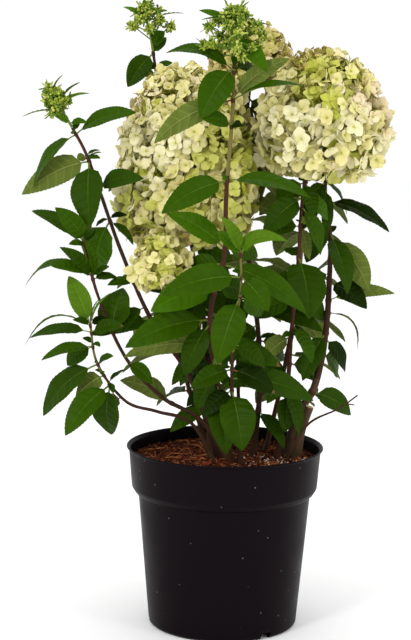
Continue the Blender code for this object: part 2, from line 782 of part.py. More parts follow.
def pot_profile():
    """The (radius, height) line of the pot, from under its base over the lip to its floor."""
    return (
        (0.0, 0.0),
        (BASE_RADIUS - BASE_ROUNDING, 0.0),
        (BASE_RADIUS, BASE_ROUNDING),
        (BODY_TOP_RADIUS, BODY_TOP_HEIGHT),
        (0.5 * (BODY_TOP_RADIUS + COLLAR_FOOT_RADIUS), BODY_TOP_HEIGHT + WALL),
        (COLLAR_FOOT_RADIUS, COLLAR_FOOT_HEIGHT),
        (COLLAR_TOP_RADIUS, POT_HEIGHT - LIP_DEPTH),
        (RIM_RADIUS, POT_HEIGHT - LIP_ROUNDING),
        (RIM_RADIUS - LIP_ROUNDING, POT_HEIGHT),
        (COLLAR_TOP_RADIUS - WALL, POT_HEIGHT - LIP_DEPTH),
        (COLLAR_FOOT_RADIUS - WALL, COLLAR_FOOT_HEIGHT + 0.5 * WALL),
        (BODY_TOP_RADIUS - WALL, BODY_TOP_HEIGHT + WALL),
        (BASE_RADIUS - WALL, FLOOR),
        (0.0, FLOOR),
    )


def build_pot():
    pot = make_object("pot", turned(pot_profile(), POT_SIDES), "pot_plastic")
    notch = pot.modifiers.new("drain_notches", "BOOLEAN")
    notch.object = drain_cutters()
    notch.operation = "DIFFERENCE"
    notch.solver = "MANIFOLD"
    smooth(pot, 30.0)


def drain_cutters():
    """Boxes across the base's edge and rods through its floor, kept as guides."""
    vertices = []
    faces = []
    for degrees in NOTCH_ANGLES:
        angle = math.radians(degrees)
        outward = np.array([math.cos(angle), math.sin(angle), 0.0])
        across = np.array([-math.sin(angle), math.cos(angle), 0.0])
        start = len(vertices)
        for radial in (BASE_RADIUS - NOTCH_DEPTH, BASE_RADIUS + NOTCH_DEPTH):
            for side in (-0.5, 0.5):
                for height in (-CUT_THROUGH, NOTCH_HEIGHT):
                    vertices.append(outward * radial + across * side * NOTCH_WIDTH + UP * height)
        for face in ((0, 1, 3, 2), (4, 6, 7, 5), (0, 4, 5, 1), (2, 3, 7, 6), (0, 2, 6, 4),
                     (1, 5, 7, 3)):
            faces.append([start + corner for corner in face])
    for number in range(DRAIN_HOLES):
        angle = math.radians(NOTCH_ANGLES[0]) + 2.0 * math.pi * (number + 0.5) / DRAIN_HOLES
        centre = np.array([math.cos(angle), math.sin(angle), 0.0]) * DRAIN_RING_RADIUS
        path = (centre - UP * CUT_THROUGH, centre + UP * (FLOOR + CUT_THROUGH))
        rod, rod_faces = tube(path, (UP, UP), (DRAIN_RADIUS, DRAIN_RADIUS), DRAIN_SIDES)
        start = len(vertices)
        vertices.extend(rod)
        faces.extend([[start + corner for corner in face] for face in rod_faces])
    cutters = make_object("drain_cutters", (np.array(vertices), faces), "pot_plastic")
    cutters.display_type = "WIRE"
    cutters.hide_render = True
    return cutters


def mix_shape():
    """The filling, which follows the pot's inner wall a little inside it."""
    wall = pot_profile()[-2:-6:-1]
    radii = [radius - MIX_CLEARANCE for radius, _ in wall]
    heights = [height for _, height in wall]
    profile = [(0.0, FLOOR + GAP), (radii[0], FLOOR + GAP)]
    profile += list(zip(radii[1:3], heights[1:3]))
    profile += [(float(np.interp(MIX_TOP, heights, radii)), MIX_TOP), (0.0, MIX_TOP)]
    return turned(profile, POT_SIDES)


def taper(shoot, curve, where):
    """The radii of a shoot at distances along it, with a flare at the ground."""
    whole = distances(curve)[-1]
    radii = (shoot.foot_radius + (shoot.tip_radius - shoot.foot_radius) * where / whole) * MM
    above = at_distance(curve, where)[:, 2] - curve[0, 2]
    return radii * (1.0 + FLARE * np.exp(-above / FLARE_HEIGHT))


def flat_foot(shape):
    """Levels the first ring of a limb at the ground."""
    vertices, faces = shape
    vertices[: len(faces[0]), 2] = MIX_TOP + GAP
    return vertices, faces


def shoot_curve(shoot):
    curve = curve_through(shoot.route)
    curve[0, 2] = MIX_TOP + GAP
    return curve


def cane_shape(shoot):
    curve = shoot_curve(shoot)
    end = distance_at_height(curve, shoot.bare * MM)
    where = np.insert(ring_places(0.0, end), 1, FLARE_HEIGHT)
    radii = taper(shoot, curve, where)
    cane = tube(at_distance(curve, where), way_at(curve, where), radii, CANE_SIDES)
    return flat_foot(cane)


def stem_shape(shoot):
    curve = shoot_curve(shoot)
    start = distance_at_height(curve, shoot.bare * MM) + GAP
    where = ring_places(start, distances(curve)[-1])
    radii = taper(shoot, curve, where)
    return tube(at_distance(curve, where), way_at(curve, where), radii, STEM_SIDES)


def named(kind, name):
    return next(item for item in kind if item.name == name)


def shoot_end(name):
    """Where a shoot's stem ends, the way it runs there and its radius."""
    shoot = named(SHOOTS, name)
    curve = shoot_curve(shoot)
    way = unit(way_at(curve, distances(curve)[-1]))
    return curve[-1] + way * GAP, way, shoot.tip_radius * MM


def low_head_twig():
    """The side twig from the tall left stem into the low flower head."""
    shoot = named(SHOOTS, "tall_left")
    head = named(HEADS, "flower_head_low")
    curve = shoot_curve(shoot)
    place = at_distance(curve, distance_at_height(curve, LOW_TWIG_HEIGHT * MM))
    foot = np.array(head.foot) * MM
    end = foot + UP * LOW_TWIG_END * head.height * MM
    start = place + unit(end - place) * (shoot.foot_radius * MM + GAP)
    return straight_twig(start, end, LOW_TWIG_RADIUS * MM)


def straight_twig(start, end, radius):
    way = end - start
    return tube((start, end), (way, way), (radius, 0.9 * radius), TWIG_SIDES + 1)


def head_stalk(head):
    """The stalk that goes on from the carrying shoot's tip into the head's core."""
    if not head.carrier:
        return low_head_twig()
    start, way, radius = shoot_end(head.carrier)
    end = np.array(head.foot) * MM + UP * STALK_END * head.height * MM
    bend = start + way * STALK_BEND * (end[2] - start[2])
    return tube((start, bend, end), (way, end - start, end - bend), (radius,) * 3, STEM_SIDES)


def panicle_stem(panicle):
    start, way, radius = shoot_end(panicle.carrier)
    tip = np.array(panicle.tip) * MM
    path = np.array([start, start + way * PANICLE_BEND, tip])
    ways = (way, tip - start, tip - start)
    return path, tube(path, ways, (radius, 0.9 * radius, 0.4 * radius), STEM_SIDES)


def bud_shape(root, end, radius):
    """A cluster of buds on its side twig: eight faces that narrow down to the root."""
    axis = unit(end - root)
    first, second = square_axes(axis)
    vertices = np.array([
        end + axis * radius,
        root,
        end + first * radius,
        end + second * radius,
        end - first * radius,
        end - second * radius,
    ])
    faces = []
    for corner in range(4):
        following = (corner + 1) % 4
        faces.append([0, 2 + corner, 2 + following])
        faces.append([1, 2 + following, 2 + corner])
    return vertices, faces


def panicle_shapes(panicle, space):
    """Bud clusters on side twigs that get shorter towards the tip, round a stem."""
    chance = random.Random(SEED + panicle.buds)
    path, stem = panicle_stem(panicle)
    axis = unit(path[-1] - path[0])
    first, second = square_axes(axis)
    shapes = [stem]
    for number in range(panicle.buds):
        share = number / (panicle.buds - 1)
        height = panicle.start + (PANICLE_END - panicle.start) * share
        angle = number * GOLDEN_ANGLE
        side = math.cos(angle) * first + math.sin(angle) * second
        spread = panicle.spread * MM * (1.0 - PANICLE_TAPER * share) * chance.uniform(0.65, 1.0)
        root = path[0] + (path[-1] - path[0]) * height
        end = root + side * spread + axis * (BUD_TWIG_RISE * spread + BUD_TWIG_FOOT)
        shapes.append(bud_shape(root, end, BUD_RADIUS * chance.uniform(0.85, 1.1)))
    for shape in shapes:
        space.add(shape, panicle.name)
    return shapes


def leaves_on(nodes, curve, owner, space, chance, crowded=False):
    """The solids of the leaves at their nodes along a stem."""
    shapes = []
    for height, *leaves in nodes:
        root = at_distance(curve, distance_at_height(curve, height * MM))
        for leaf in leaves:
            shape = place_leaf(space, owner, root, leaf, facing(root), chance, crowded)
            if shape is not None:
                shapes.append(shape)
    return shapes


def main():
    clear_scene()
    build_pot()
    smooth(make_object("potting_mix", mix_shape(), "potting_mix"), 30.0)
    space = Space()
    space.add(mix_shape(), "potting_mix")
    space.add(turned(pot_profile(), POT_SIDES), "pot")

    stems = {}
    for shoot in SHOOTS:
        cane = cane_shape(shoot)
        smooth(make_object("cane_" + shoot.name, cane, "cane_bark"), 50.0)
        space.add(cane, "cane_" + shoot.name)
        stems[shoot.name] = stem_shape(shoot)
        space.add(stems[shoot.name], shoot.name)
    build_stub_and_twig(space)

    cores = {}
    for head in HEADS:
        cores[head.name] = [core_shape(head), head_stalk(head)]
        for shape in cores[head.name]:
            space.add(shape, head.name)
    sprays = {panicle.name: panicle_shapes(panicle, space) for panicle in PANICLES}

    chance = random.Random(SEED)
    for shoot in SHOOTS:
        curve = shoot_curve(shoot)
        leaves = leaves_on(shoot.nodes, curve, shoot.name, space, chance)
        fuse("shoot_" + shoot.name, [stems[shoot.name]] + leaves, "leaf_green")
    for panicle in PANICLES:
        path, _ = panicle_stem(panicle)
        leaves = leaves_on(panicle.leaves, path, panicle.name, space, chance, crowded=True)
        fuse(panicle.name, sprays[panicle.name] + leaves, "bud_green")

    for head in HEADS:
        shapes = list(cores[head.name])
        scale = floret_scale(head)
        radius = FLORET_RADIUS * scale
        depth = head.radius * MM * (1.0 - CORE_SHARE) + FLORET_STALK
        for place, outward in floret_sites(head, FLORET_SPACING * scale):
            lean = np.array([chance.uniform(-FLORET_LEAN, FLORET_LEAN) for _ in range(3)])
            way = unit(outward + lean)
            spin = chance.uniform(0.0, 0.5 * math.pi)
            base = place - way * radius * FLORET_CUP
            grown = floret_shape(base, way, radius + ROOM, depth, spin)
            if space.free(grown, head.name):
                shapes.append(floret_shape(base, way, radius, depth, spin))
                space.add(shapes[-1], head.name)
        fuse(head.name, shapes, head.colour)


def limb_shape(route, radii, sides):
    """A tapering limb along a route in mm, cut flat at the ground."""
    curve = curve_through(route)
    curve[0, 2] = MIX_TOP + GAP
    where = ring_places(0.0, distances(curve)[-1])
    steps = np.linspace(radii[0], radii[1], len(where)) * MM
    return flat_foot(tube(at_distance(curve, where), way_at(curve, where), steps, sides)), curve


def build_stub_and_twig(space):
    stub, _ = limb_shape(STUB_ROUTE, STUB_RADIUS, CANE_SIDES)
    smooth(make_object("sawn_stub", stub, "cane_bark"), 50.0)
    space.add(stub, "sawn_stub")
    twig, curve = limb_shape(TWIG_ROUTE, TWIG_RADIUS, STEM_SIDES)
    fork = at_distance(curve, FORK_START * distances(curve)[-1])
    prong = straight_twig(fork, fork + np.array(FORK_REACH) * MM, TWIG_RADIUS[1] * MM)
    fuse("bare_twig", [twig, prong], "cane_bark")
    space.add(twig, "bare_twig")


main()
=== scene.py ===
"""Panicle hydrangea grown as a shrub in a round nursery pot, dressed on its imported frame.

The plant is grown by the same rule as the frame's solids, so every leaf, head and bud panicle
stands where its solid does. Each is then made again as a fine surface. Metres, +Z up, origin
at the centre of the pot's underside, and the side that is looked at faces -Y.
"""

import functools
import itertools
import math
import random
from collections import namedtuple

import bpy
import numpy as np
from bpy.props import FloatProperty, FloatVectorProperty, IntProperty, PointerProperty
from mathutils import Matrix, Vector
from mathutils.bvhtree import BVHTree


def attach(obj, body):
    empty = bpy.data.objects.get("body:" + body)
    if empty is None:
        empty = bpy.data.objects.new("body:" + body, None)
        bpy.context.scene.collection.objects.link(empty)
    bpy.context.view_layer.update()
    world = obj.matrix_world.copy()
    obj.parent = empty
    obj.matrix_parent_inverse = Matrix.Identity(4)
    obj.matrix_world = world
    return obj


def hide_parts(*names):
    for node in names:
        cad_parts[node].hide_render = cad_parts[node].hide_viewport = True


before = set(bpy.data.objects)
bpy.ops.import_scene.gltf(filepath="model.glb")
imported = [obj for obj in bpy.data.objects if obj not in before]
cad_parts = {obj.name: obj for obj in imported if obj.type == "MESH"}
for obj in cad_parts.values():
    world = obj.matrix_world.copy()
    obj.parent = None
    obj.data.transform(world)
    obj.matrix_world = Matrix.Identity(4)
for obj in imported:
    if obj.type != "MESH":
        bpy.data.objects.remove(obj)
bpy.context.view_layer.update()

bl_info = {
    "name": "Potted Panicle Hydrangea",
    "version": (1, 0, 0),
    "blender": (4, 5, 0),
    "location": "3D Viewport > Sidebar > Hydrangea",
    "description": "Builds the leaves, flower heads, stems and pot of a panicle hydrangea",
    "category": "Add Mesh",
}

MM = 0.001
GAP = 0.0003
SEED = 11
UP = np.array([0.0, 0.0, 1.0])
GOLDEN_ANGLE = math.pi * (3.0 - math.sqrt(5.0))

# Pot and potting mix, as in the frame
RIM_RADIUS = 0.110
POT_HEIGHT = 0.203
LIP_DEPTH = 0.0035
LIP_ROUNDING = 0.0016
COLLAR_TOP_RADIUS = 0.1070
COLLAR_FOOT_RADIUS = 0.1035
COLLAR_FOOT_HEIGHT = 0.157
BODY_TOP_RADIUS = 0.0960
BODY_TOP_HEIGHT = 0.149
BASE_RADIUS = 0.0830
BASE_ROUNDING = 0.003
WALL = 0.0020
FLOOR = 0.0030
POT_SIDES = 30
NOTCH_ANGLES = (-55.0, 65.0, 185.0)
NOTCH_WIDTH = 0.012
NOTCH_HEIGHT = 0.007
NOTCH_DEPTH = 0.012
DRAIN_HOLES = 4
DRAIN_RING_RADIUS = 0.048
DRAIN_RADIUS = 0.006
CUT_THROUGH = 0.010
MIX_TOP = 0.188
MIX_CLEARANCE = 0.0004

# Stems and leaves, as in the frame
CANE_SIDES = 6
STEM_SIDES = 5
TWIG_SIDES = 3
RING_SPACING = 0.036
FLARE = 0.55
FLARE_HEIGHT = 0.012
SPAN_STEPS = 10
WAY_STEP = 0.002
LEAF_STATIONS = ((0.0, 0.0), (0.11, 0.0), (0.38, 1.0), (0.73, 0.76))
PETIOLE_HALF_WIDTH = 0.0012
PETIOLE_THICKNESS = 0.0017
LEAF_THICKNESS = 0.015
LEAF_FOLD = 0.22
LEAF_ARCH = 0.10
LEAF_BOW = (0.6, 0.8)
ROOM = 0.0006
TRIES = 24
TRY_REACH = 0.030
SHORTEST = 0.75
VIEWER = np.array([0.0, -0.98, 0.20])
OUTWARD_SHARE = 0.4
BACK_HALF = 0.045
BACK_RISE = 0.6

# Flower heads and bud panicles, as in the frame
CORE_SHARE = 0.80
CORE_SIDES = 10
HEAD_WIDEST = 0.24
HEAD_FOOT = 0.76
HEAD_UNDERSIDE = (0.45, 0.02)
HEAD_DOME = (2.2, 0.625)
HEAD_STEPS = 24
CORE_STEPS = (0, 1, 5, 11, 17, 21)
STALK_END = 0.45
STALK_BEND = 0.5
BUD_RADIUS = 0.0062
PANICLE_BEND = 0.010
PANICLE_END = 0.87
PANICLE_TAPER = 0.85
BUD_TWIG_RISE = 0.45
BUD_TWIG_FOOT = 0.004

# A leaf, in mm: how far right, back and up its tip lies from its node, its width, its turn in
# degrees (0 shows its upper side, 90 its edge, 180 its underside) and, where there is a sixth
# number, the height of its arch. A shoot, in mm: the points its stem runs through, its radius
# at the foot and at the tip, the height where the bare cane ends, and its leaf nodes, each
# with its height and its leaves.
Shoot = namedtuple("Shoot", "name route foot_radius tip_radius bare nodes")

SHOOTS = (
    Shoot("tall_left", ((-7, -4, 188), (-40, -10, 280), (-82, -20, 344), (-116, -30, 421),
          (-152, -30, 520), (-170, -30, 555)), 3.0, 1.6, 318, (
        (548, (-48, 32, -60, 20, 35), (66, -30, 26, 24, 72)),
        (523, (-17, -15, 8, 10, 150), (14, 12, 5, 7, 60)),
        (519, (-76, 36, -40, 30, 168), (3, -29, -68, 37, 0)),
        (491, (50, -40, 14, 20, 10), (-22, 14, -16, 14, 150)),
        (455, (-15, 26, -60, 38, 0), (26, -15, -24, 11, 60)),
        (388, (-28, -12, -2, 11, 70), (34, 15, -14, 11, 70)),
        (342, (-64, 28, -17, 23, 15), (34, 24, -14, 20, 10)),
    )),
    Shoot("left", ((3, -13, 188), (-28, -14, 234), (-72, -16, 260), (-111, -30, 306),
          (-141, -42, 376), (-156, -50, 437)), 2.6, 1.4, 246, (
        (434, (-59, 28, 30, 12, 115), (-30, -21, 39, 16, 140)),
        (433, (-8, -20, 46, 11, 165), (-3, 13, 31, 9, 60)),
        (431, (12, 16, 16, 12, 20), (-18, -15, 6, 9, 30)), (430, (14, -11, 22, 10, 60)),
        (399, (-75, 33, -20, 15, 55, 20), (-42, -18, 10, 14, 30)),
        (393, (-29, -23, 46, 13, 60), (29, 12, -5, 13, 40)),
        (334, (10, 22, 46, 40, 8), (-22, -19, 8, 13, 20)),
        (252, (-58, 16, 22, 25, 158), (9, 11, 10, 7, 30)),
    )),
    Shoot("low_left", ((-12, -21, 188), (-38, -23, 232), (-76, -26, 245), (-110, -36, 258),
          (-140, -50, 301), (-148, -58, 346)), 2.2, 1.2, 256, (
        (345, (-25, 23, 50, 23, 10), (23, -19, 38, 10, 60)),
        (344, (-68, -30, -18, 8, 72, 22), (-1, 16, 38, 7, 60)),
        (337, (-69, 29, -12, 15, 35), (35, -15, 10, 16, 20)),
        (321, (-54, -23, -12, 16, 35), (-29, 16, -24, 20, 0)),
        (301, (-62, 38, -66, 28, 14), (18, -17, 12, 11, 40)), (288, (-32, 18, -28, 22, 168)),
        (277, (0, 26, -61, 32, 0), (-47, -29, -51, 30, 10)),
    )),
    Shoot("back_left", ((-3, 21, 188), (-35, 85, 330), (-62, 112, 460), (-76, 100, 560),
          (-87, 68, 636)), 3.0, 1.6, 300, (
        (633, (-28, -12, -37, 24, 0), (14, 10, 18, 14, 20)), (611, (-21, -4, -4, 9, 150)),
        (560, (-44, 60, -20, 36, 30)), (505, (-70, 28, -34, 38, 30), (34, 70, -30, 38, 30)),
        (452, (-40, 66, -34, 40, 30), (60, 50, -30, 36, 30)), (400, (-72, 20, -36, 38, 30)),
        (350, (48, 48, -44, 36, 30)),
    )),
    Shoot("front", ((7, -26, 188), (-7, -40, 262), (-19, -55, 352), (-5, -76, 423), (-4, -92, 490),
          (1, -90, 574), (2, -82, 628)), 3.4, 1.8, 272, (
        (624, (-34, -21, -53, 33, 8), (26, 30, -8, 16, 40)), (619, (-72, 12, 18, 11, 72, 14)),
        (590, (-81, -31, -44, 24, 172), (70, -24, 17, 20, 70)),
        (563, (-31, -12, 8, 18, 30), (13, -9, 12, 12, 30)),
        (506, (-68, -26, -33, 27, 6), (86, -30, -14, 22, 45)),
        (432, (-62, 20, 35, 24, 20), (36, 40, -12, 24, 10)),
        (415, (90, 6, -52, 25, 18), (-40, 30, -12, 22, 10)),
        (388, (-69, -25, -22, 34, 12), (30, 40, -10, 26, 10)),
        (352, (-90, -32, -26, 32, 12), (40, 38, -16, 24, 10)),
        (322, (76, -27, -27, 27, 18), (-95, 6, -14, 24, 164)),
        (300, (27, -22, -26, 14, 18), (-28, 24, -10, 18, 10)), (280, (14, -29, -84, 23, 45)),
    )),
    Shoot("front_low", ((18, -34, 188), (6, -58, 275), (8, -84, 350), (13, -98, 392),
          (12, -104, 432)), 2.4, 1.2, 262, (
        (431, (-21, -15, 40, 8, 50), (13, -13, 36, 11, 40)),
        (429, (55, -19, 16, 17, 30, 14), (-25, 8, 24, 13, 20)),
        (405, (-83, -29, -16, 31, 8), (29, -16, -33, 25, 0)),
        (383, (-23, -24, -67, 34, 0), (24, 34, -24, 24, 0)),
        (300, (46, -17, -22, 24, 20), (-44, -16, -18, 22, 20)),
        (276, (12, -30, -60, 38, 0), (-30, -14, -30, 20, 20)),
    )),
    Shoot("back_centre", ((32, 8, 188), (38, 12, 262), (35, 22, 330), (24, 46, 407), (18, 68, 480),
          (18, 78, 545), (22, 66, 596)), 3.2, 1.8, 232, (
        (560, (26, 46, 20, 20, 20), (-20, 52, 24, 20, 20)),
        (500, (40, 40, -30, 30, 20), (-38, 44, -26, 30, 20)),
        (468, (42, -26, -18, 28, 8), (-40, 34, -14, 26, 20)),
        (405, (52, 30, -20, 28, 20), (-56, 20, -24, 28, 20)),
        (352, (76, -34, -25, 27, 18), (-42, 36, -22, 28, 20)),
        (318, (30, 46, -30, 28, 20), (-44, 16, -26, 26, 20)),
        (285, (68, -24, -30, 24, 32), (-34, -12, -18, 20, 20)),
        (240, (34, -30, -42, 20, 8), (-24, 24, -14, 18, 20)),
    )),
    Shoot("right", ((58, -4, 188), (68, -2, 262), (71, -4, 326), (77, -10, 416), (80, -10, 483),
          (88, -6, 512)), 2.8, 1.8, 252, (
        (498, (8, -22, -36, 18, 10), (-30, 30, -24, 22, 20)),
        (482, (-43, -20, -38, 27, 8), (30, 30, -28, 20, 20)),
        (450, (6, 8, -44, 15, 160), (-34, 14, -8, 18, 20)),
        (416, (11, -40, -62, 45, 0), (-20, 14, 14, 18, 10)),
        (368, (-44, 30, -24, 26, 20), (36, 32, -26, 24, 20)),
        (327, (-30, -13, -26, 23, 162), (14, 22, 6, 12, 20)), (296, (34, 40, -26, 26, 20)),
        (262, (9, -17, -50, 27, 12), (30, 26, -20, 18, 20)),
    )),
    Shoot("far_right", ((66, 12, 188), (84, 11, 240), (100, 11, 272), (111, 18, 334),
          (114, 30, 427), (108, 32, 470), (107, 34, 498)), 5.0, 1.8, 250, (
        (496, (26, 20, -39, 14, 48), (-22, -16, -30, 18, 10)),
        (474, (69, -32, -30, 23, 28), (-2, 23, -54, 12, 55)),
        (434, (24, 29, -66, 26, 6), (42, -29, -55, 30, 164)),
        (410, (-20, 50, -26, 28, 20), (40, 46, -20, 30, 20)),
        (384, (-16, 17, -36, 22, 20), (41, -20, -26, 27, 8)), (364, (82, -35, 20, 19, 164)),
        (350, (36, 24, -45, 9, 72, 16), (-20, 44, -24, 24, 20)), (328, (-26, -24, -50, 23, 26)),
        (304, (20, 44, -34, 26, 20)), (262, (46, 23, -30, 25, 8), (8, 34, -12, 16, 20)),
    )),
    Shoot("left_centre", ((-17, 9, 188), (-21, 16, 300), (-34, 24, 390),
          (-46, 24, 448)), 3.0, 2.0, 232, (
        (425, (-58, 30, -20, 30, 20), (46, 10, -20, 28, 10)),
        (396, (-52, -14, -12, 30, 10), (40, 30, -16, 28, 20)),
        (362, (-40, 40, -26, 30, 20), (-20, -40, -34, 28, 10)),
        (332, (-24, -20, -38, 30, 0), (28, 34, -20, 26, 20)),
        (302, (-30, -2, -36, 24, 18), (22, 28, -16, 20, 20)), (286, (-29, -14, -8, 18, 18)),
        (243, (-43, -14, -26, 20, 10)),
    )),
    Shoot("rear_left", ((-18, 30, 188), (-44, 66, 262), (-66, 120, 350), (-44, 152, 430),
          (-36, 156, 500)), 2.8, 1.8, 236, (
        (480, (-56, 36, -34, 36, 30), (52, 42, -30, 36, 30)),
        (436, (-34, 62, -40, 38, 30), (24, -34, 14, 18, 30)),
        (390, (-72, 22, -36, 38, 30), (60, 36, -42, 36, 30)),
        (340, (-40, 58, -48, 38, 30), (34, 58, -44, 34, 30)),
        (292, (-66, 26, -30, 34, 30), (24, 52, -38, 34, 30)),
        (252, (-38, 36, -26, 28, 30), (16, 40, -20, 24, 30)),
    )),
    Shoot("rear_right", ((46, 30, 188), (66, 70, 270), (82, 112, 360), (88, 132, 430),
          (88, 134, 486)), 2.8, 1.8, 236, (
        (470, (54, 38, -36, 36, 30), (-50, 44, -28, 34, 30)),
        (428, (66, -10, -36, 34, 30), (-28, 64, -36, 36, 30)),
        (384, (58, 46, -40, 38, 30), (-62, 30, -30, 36, 30)),
        (338, (34, 62, -46, 38, 30), (60, -2, -34, 32, 30)),
        (292, (64, 30, -34, 34, 30), (-44, 46, -36, 34, 30)),
        (252, (42, 34, -24, 28, 30), (-26, 42, -22, 26, 30)),
    )),
    Shoot("rear_centre", ((18, 34, 188), (14, 84, 280), (14, 128, 370), (22, 150, 440),
          (22, 152, 478)), 2.4, 1.3, 236, (
        (477, (-26, 30, 52, 22, 30), (34, 24, 48, 22, 30)), (472, (10, 54, 30, 24, 30)),
        (440, (56, 34, -24, 34, 30), (-48, 46, -26, 34, 30)),
        (396, (10, 74, -36, 38, 30), (-8, -40, 20, 20, 30)),
        (350, (-58, 40, -36, 36, 30), (52, 46, -34, 36, 30)),
        (300, (14, 66, -40, 36, 30), (-46, 30, -30, 30, 30)),
        (256, (40, 42, -26, 30, 30), (-30, 42, -26, 26, 30)),
    )),
)

# A flower head, in mm: the shoot that carries it, the centre of its foot, its height, its
# radius and how far its top leans
Head = namedtuple("Head", "name carrier foot height radius lean")

HEADS = (
    Head("flower_head_left", "left_centre", (-50, 22, 446), 180, 80, (8, 0)),
    Head("flower_head_right", "right", (100, 0, 508), 138, 80, (0, 0)),
    Head("flower_head_top", "back_centre", (23, 64, 604), 68, 48, (0, 0)),
    Head("flower_head_low", "", (-70, -48, 384), 66, 32, (-4, 0)),
    Head("flower_head_rear_left", "rear_left", (-36, 156, 506), 92, 58, (0, 4)),
    Head("flower_head_rear_right", "rear_right", (88, 134, 492), 100, 60, (2, 4)),
)

# The small low head hangs on a side twig of the tall left shoot
LOW_TWIG_HEIGHT = 384
LOW_TWIG_RADIUS = 1.1
LOW_TWIG_END = 0.25

# A bud panicle: the shoot that carries it, its tip and its spread in mm, its number of buds,
# the share of its length where they begin, and its narrow leaves as in a shoot
Panicle = namedtuple("Panicle", "name carrier tip spread buds start leaves")

PANICLES = (
    Panicle("bud_panicle_left", "tall_left", (-197, -32, 598), 17, 13, 0.27, (
        (560, (-17, -8, 9, 9, 30), (20, -8, -1, 9, 30)), (572, (-44, -4, -6, 5, 75)),
        (580, (34, 4, 12, 6, 40), (24, -6, 24, 8, 60)), (590, (12, -4, 22, 5, 60)),
    )),
    Panicle("bud_panicle_back", "back_left", (-96, 58, 688), 30, 14, 0.18, (
        (642, (14, -8, 16, 16, 10)), (668, (-28, -4, 16, 8, 40), (40, 2, 10, 4, 75)),
        (676, (-4, -6, 16, 10, 10)),
    )),
    Panicle("bud_panicle_front", "front", (3, -80, 686), 34, 19, 0.20, (
        (654, (34, -16, -34, 18, 6)), (664, (-38, -8, 18, 9, 30), (36, 4, 4, 5, 75)),
        (670, (14, -4, 22, 5, 60), (-36, -2, 2, 5, 60)),
    )),
)

# The sawn stub beside the old cane and the bare twig in front of it
STUB_ROUTE = ((79, -7, 188), (84, -9, 222), (93, -12, 250))
STUB_RADIUS = (6.0, 4.6)
TWIG_ROUTE = ((66, -24, 188), (90, -26, 232), (124, -30, 252), (144, -34, 268))
TWIG_RADIUS = (1.7, 0.8)
FORK_START = 0.86
FORK_REACH = (9.0, 0.0, -1.0)
FORK_TAPER = 0.8

# Sizes of patterns and of fine shapes, in metres unless a comment says otherwise
MAP_NAME = "own_map"
DUST_SPACING = 0.014
DUST_PATCH = 0.030
PEEL_GRAIN = 0.0012
LEAF_MOTTLE = 0.014
LEAF_NET = 0.0022
SEPAL_MOTTLE = 0.006
BARK_STRETCH = 0.22
BARK_GRAIN = 0.0022

# A leaf's surface: its grid across as shares of half its width, its pairs of side veins and
# how far along the blade each runs to the edge
LEAF_COLUMNS = np.array([-1.0, -0.8, -0.52, -0.26, -0.07, 0.0, 0.07, 0.26, 0.52, 0.8, 1.0])
BLADE_START = 0.11
BLADE_SHAPE = (0.50, 0.70)
BLADE_DRAW = (0.36, 5.0)
BLADE_EDGE = 0.00015
VEIN_PAIRS = 7
DRY_TIPS = 0.04
DRY_ROWS = 2
VEIN_LINE = 0.11
VEIN_SLANT = 0.20
VEIN_START = 0.08
MIDRIB_HALF = 0.06
MIDRIB_DEPTH = 0.00035
LEAF_WAVE = 0.07
WAVE_BEATS = (1.4, 2.6)
LEAF_TWIST = 0.22
TWIST_MIDDLE = 0.3
FOLD_CURVE = (1.25, 0.45)
SMOOTH_ENDS = 0.15
TONE_SPREAD = 0.55
RIB_TAPER = (0.82, 0.55)
RIB_STATIONS = np.linspace(0.0, 0.92, 13)
RIB_SIDES = 6
FULL_WIDTH_LEAF = 0.026

# Sepals: rows along and columns across as shares, and their cup and curl as shares of length
SEPAL_ROWS = np.array([0.0, 0.36, 0.74, 1.0])
SEPAL_COLUMNS = np.array([-1.0, -0.45, 0.0, 0.45, 1.0])
INNER_ROWS = np.array([0.0, 0.6, 1.0])
INNER_COLUMNS = np.array([-1.0, 0.0, 1.0])
SEPALS = 4
SEPAL_HALF = 0.54
SEPAL_DISH = 0.14
SEPAL_CURL = 0.22
FLORET_LEAN = 0.66
FLORET_CUP = (0.05, 0.95)
SEPAL_CUP = 0.22
SEPAL_TURN = 0.10
SEPAL_LENGTHS = (0.88, 1.12)
SHORT_PAIR = 0.86
SEPAL_ROUNDING = 0.17
SEPAL_WAVE = (0.06, 0.74)
FLORET_CLEARANCE = 0.0035

# Stems: points between two route points, the length of a node's swelling, the bark's ridges,
# the stalks' tapers and the seeds of the noise on single stems, the materials with their
# colour, roughness and contrast, and for each shoot its lower and upper bark and the share of
# its length where one gives way to the other
FINE_SPAN_STEPS = 40
NODE_LENGTH = 0.0022
RIDGES = 2.1
RIDGE_LENGTH = 0.011
FULL_RELIEF_RADIUS = 0.003
RED_NODE = 0.35
STALK_STEPS = 24
STALK_TAPER = 0.6
PANICLE_STEM_TAPER = 0.4
HEAD_SEED, PANICLE_SEED, TWIG_SEED, FORK_SEED, STUB_SEED = 200, 300, 400, 401, 402
BROWN, RED, GREY, OLIVE, GREEN, WOOD = range(6)
STEM_FINISHES = (
    ("brown_shrub_bark", "brown", 0.78, 0.45),
    ("reddish_shrub_bark", "red", 0.70, 0.40),
    ("old_flaking_bark", "grey", 0.88, 0.55),
    ("olive_green_stem", "olive", 0.55, 0.22),
    ("young_green_stem", "green", 0.50, 0.15),
    ("cut_pale_wood", "wood", 0.80, 0.15),
)
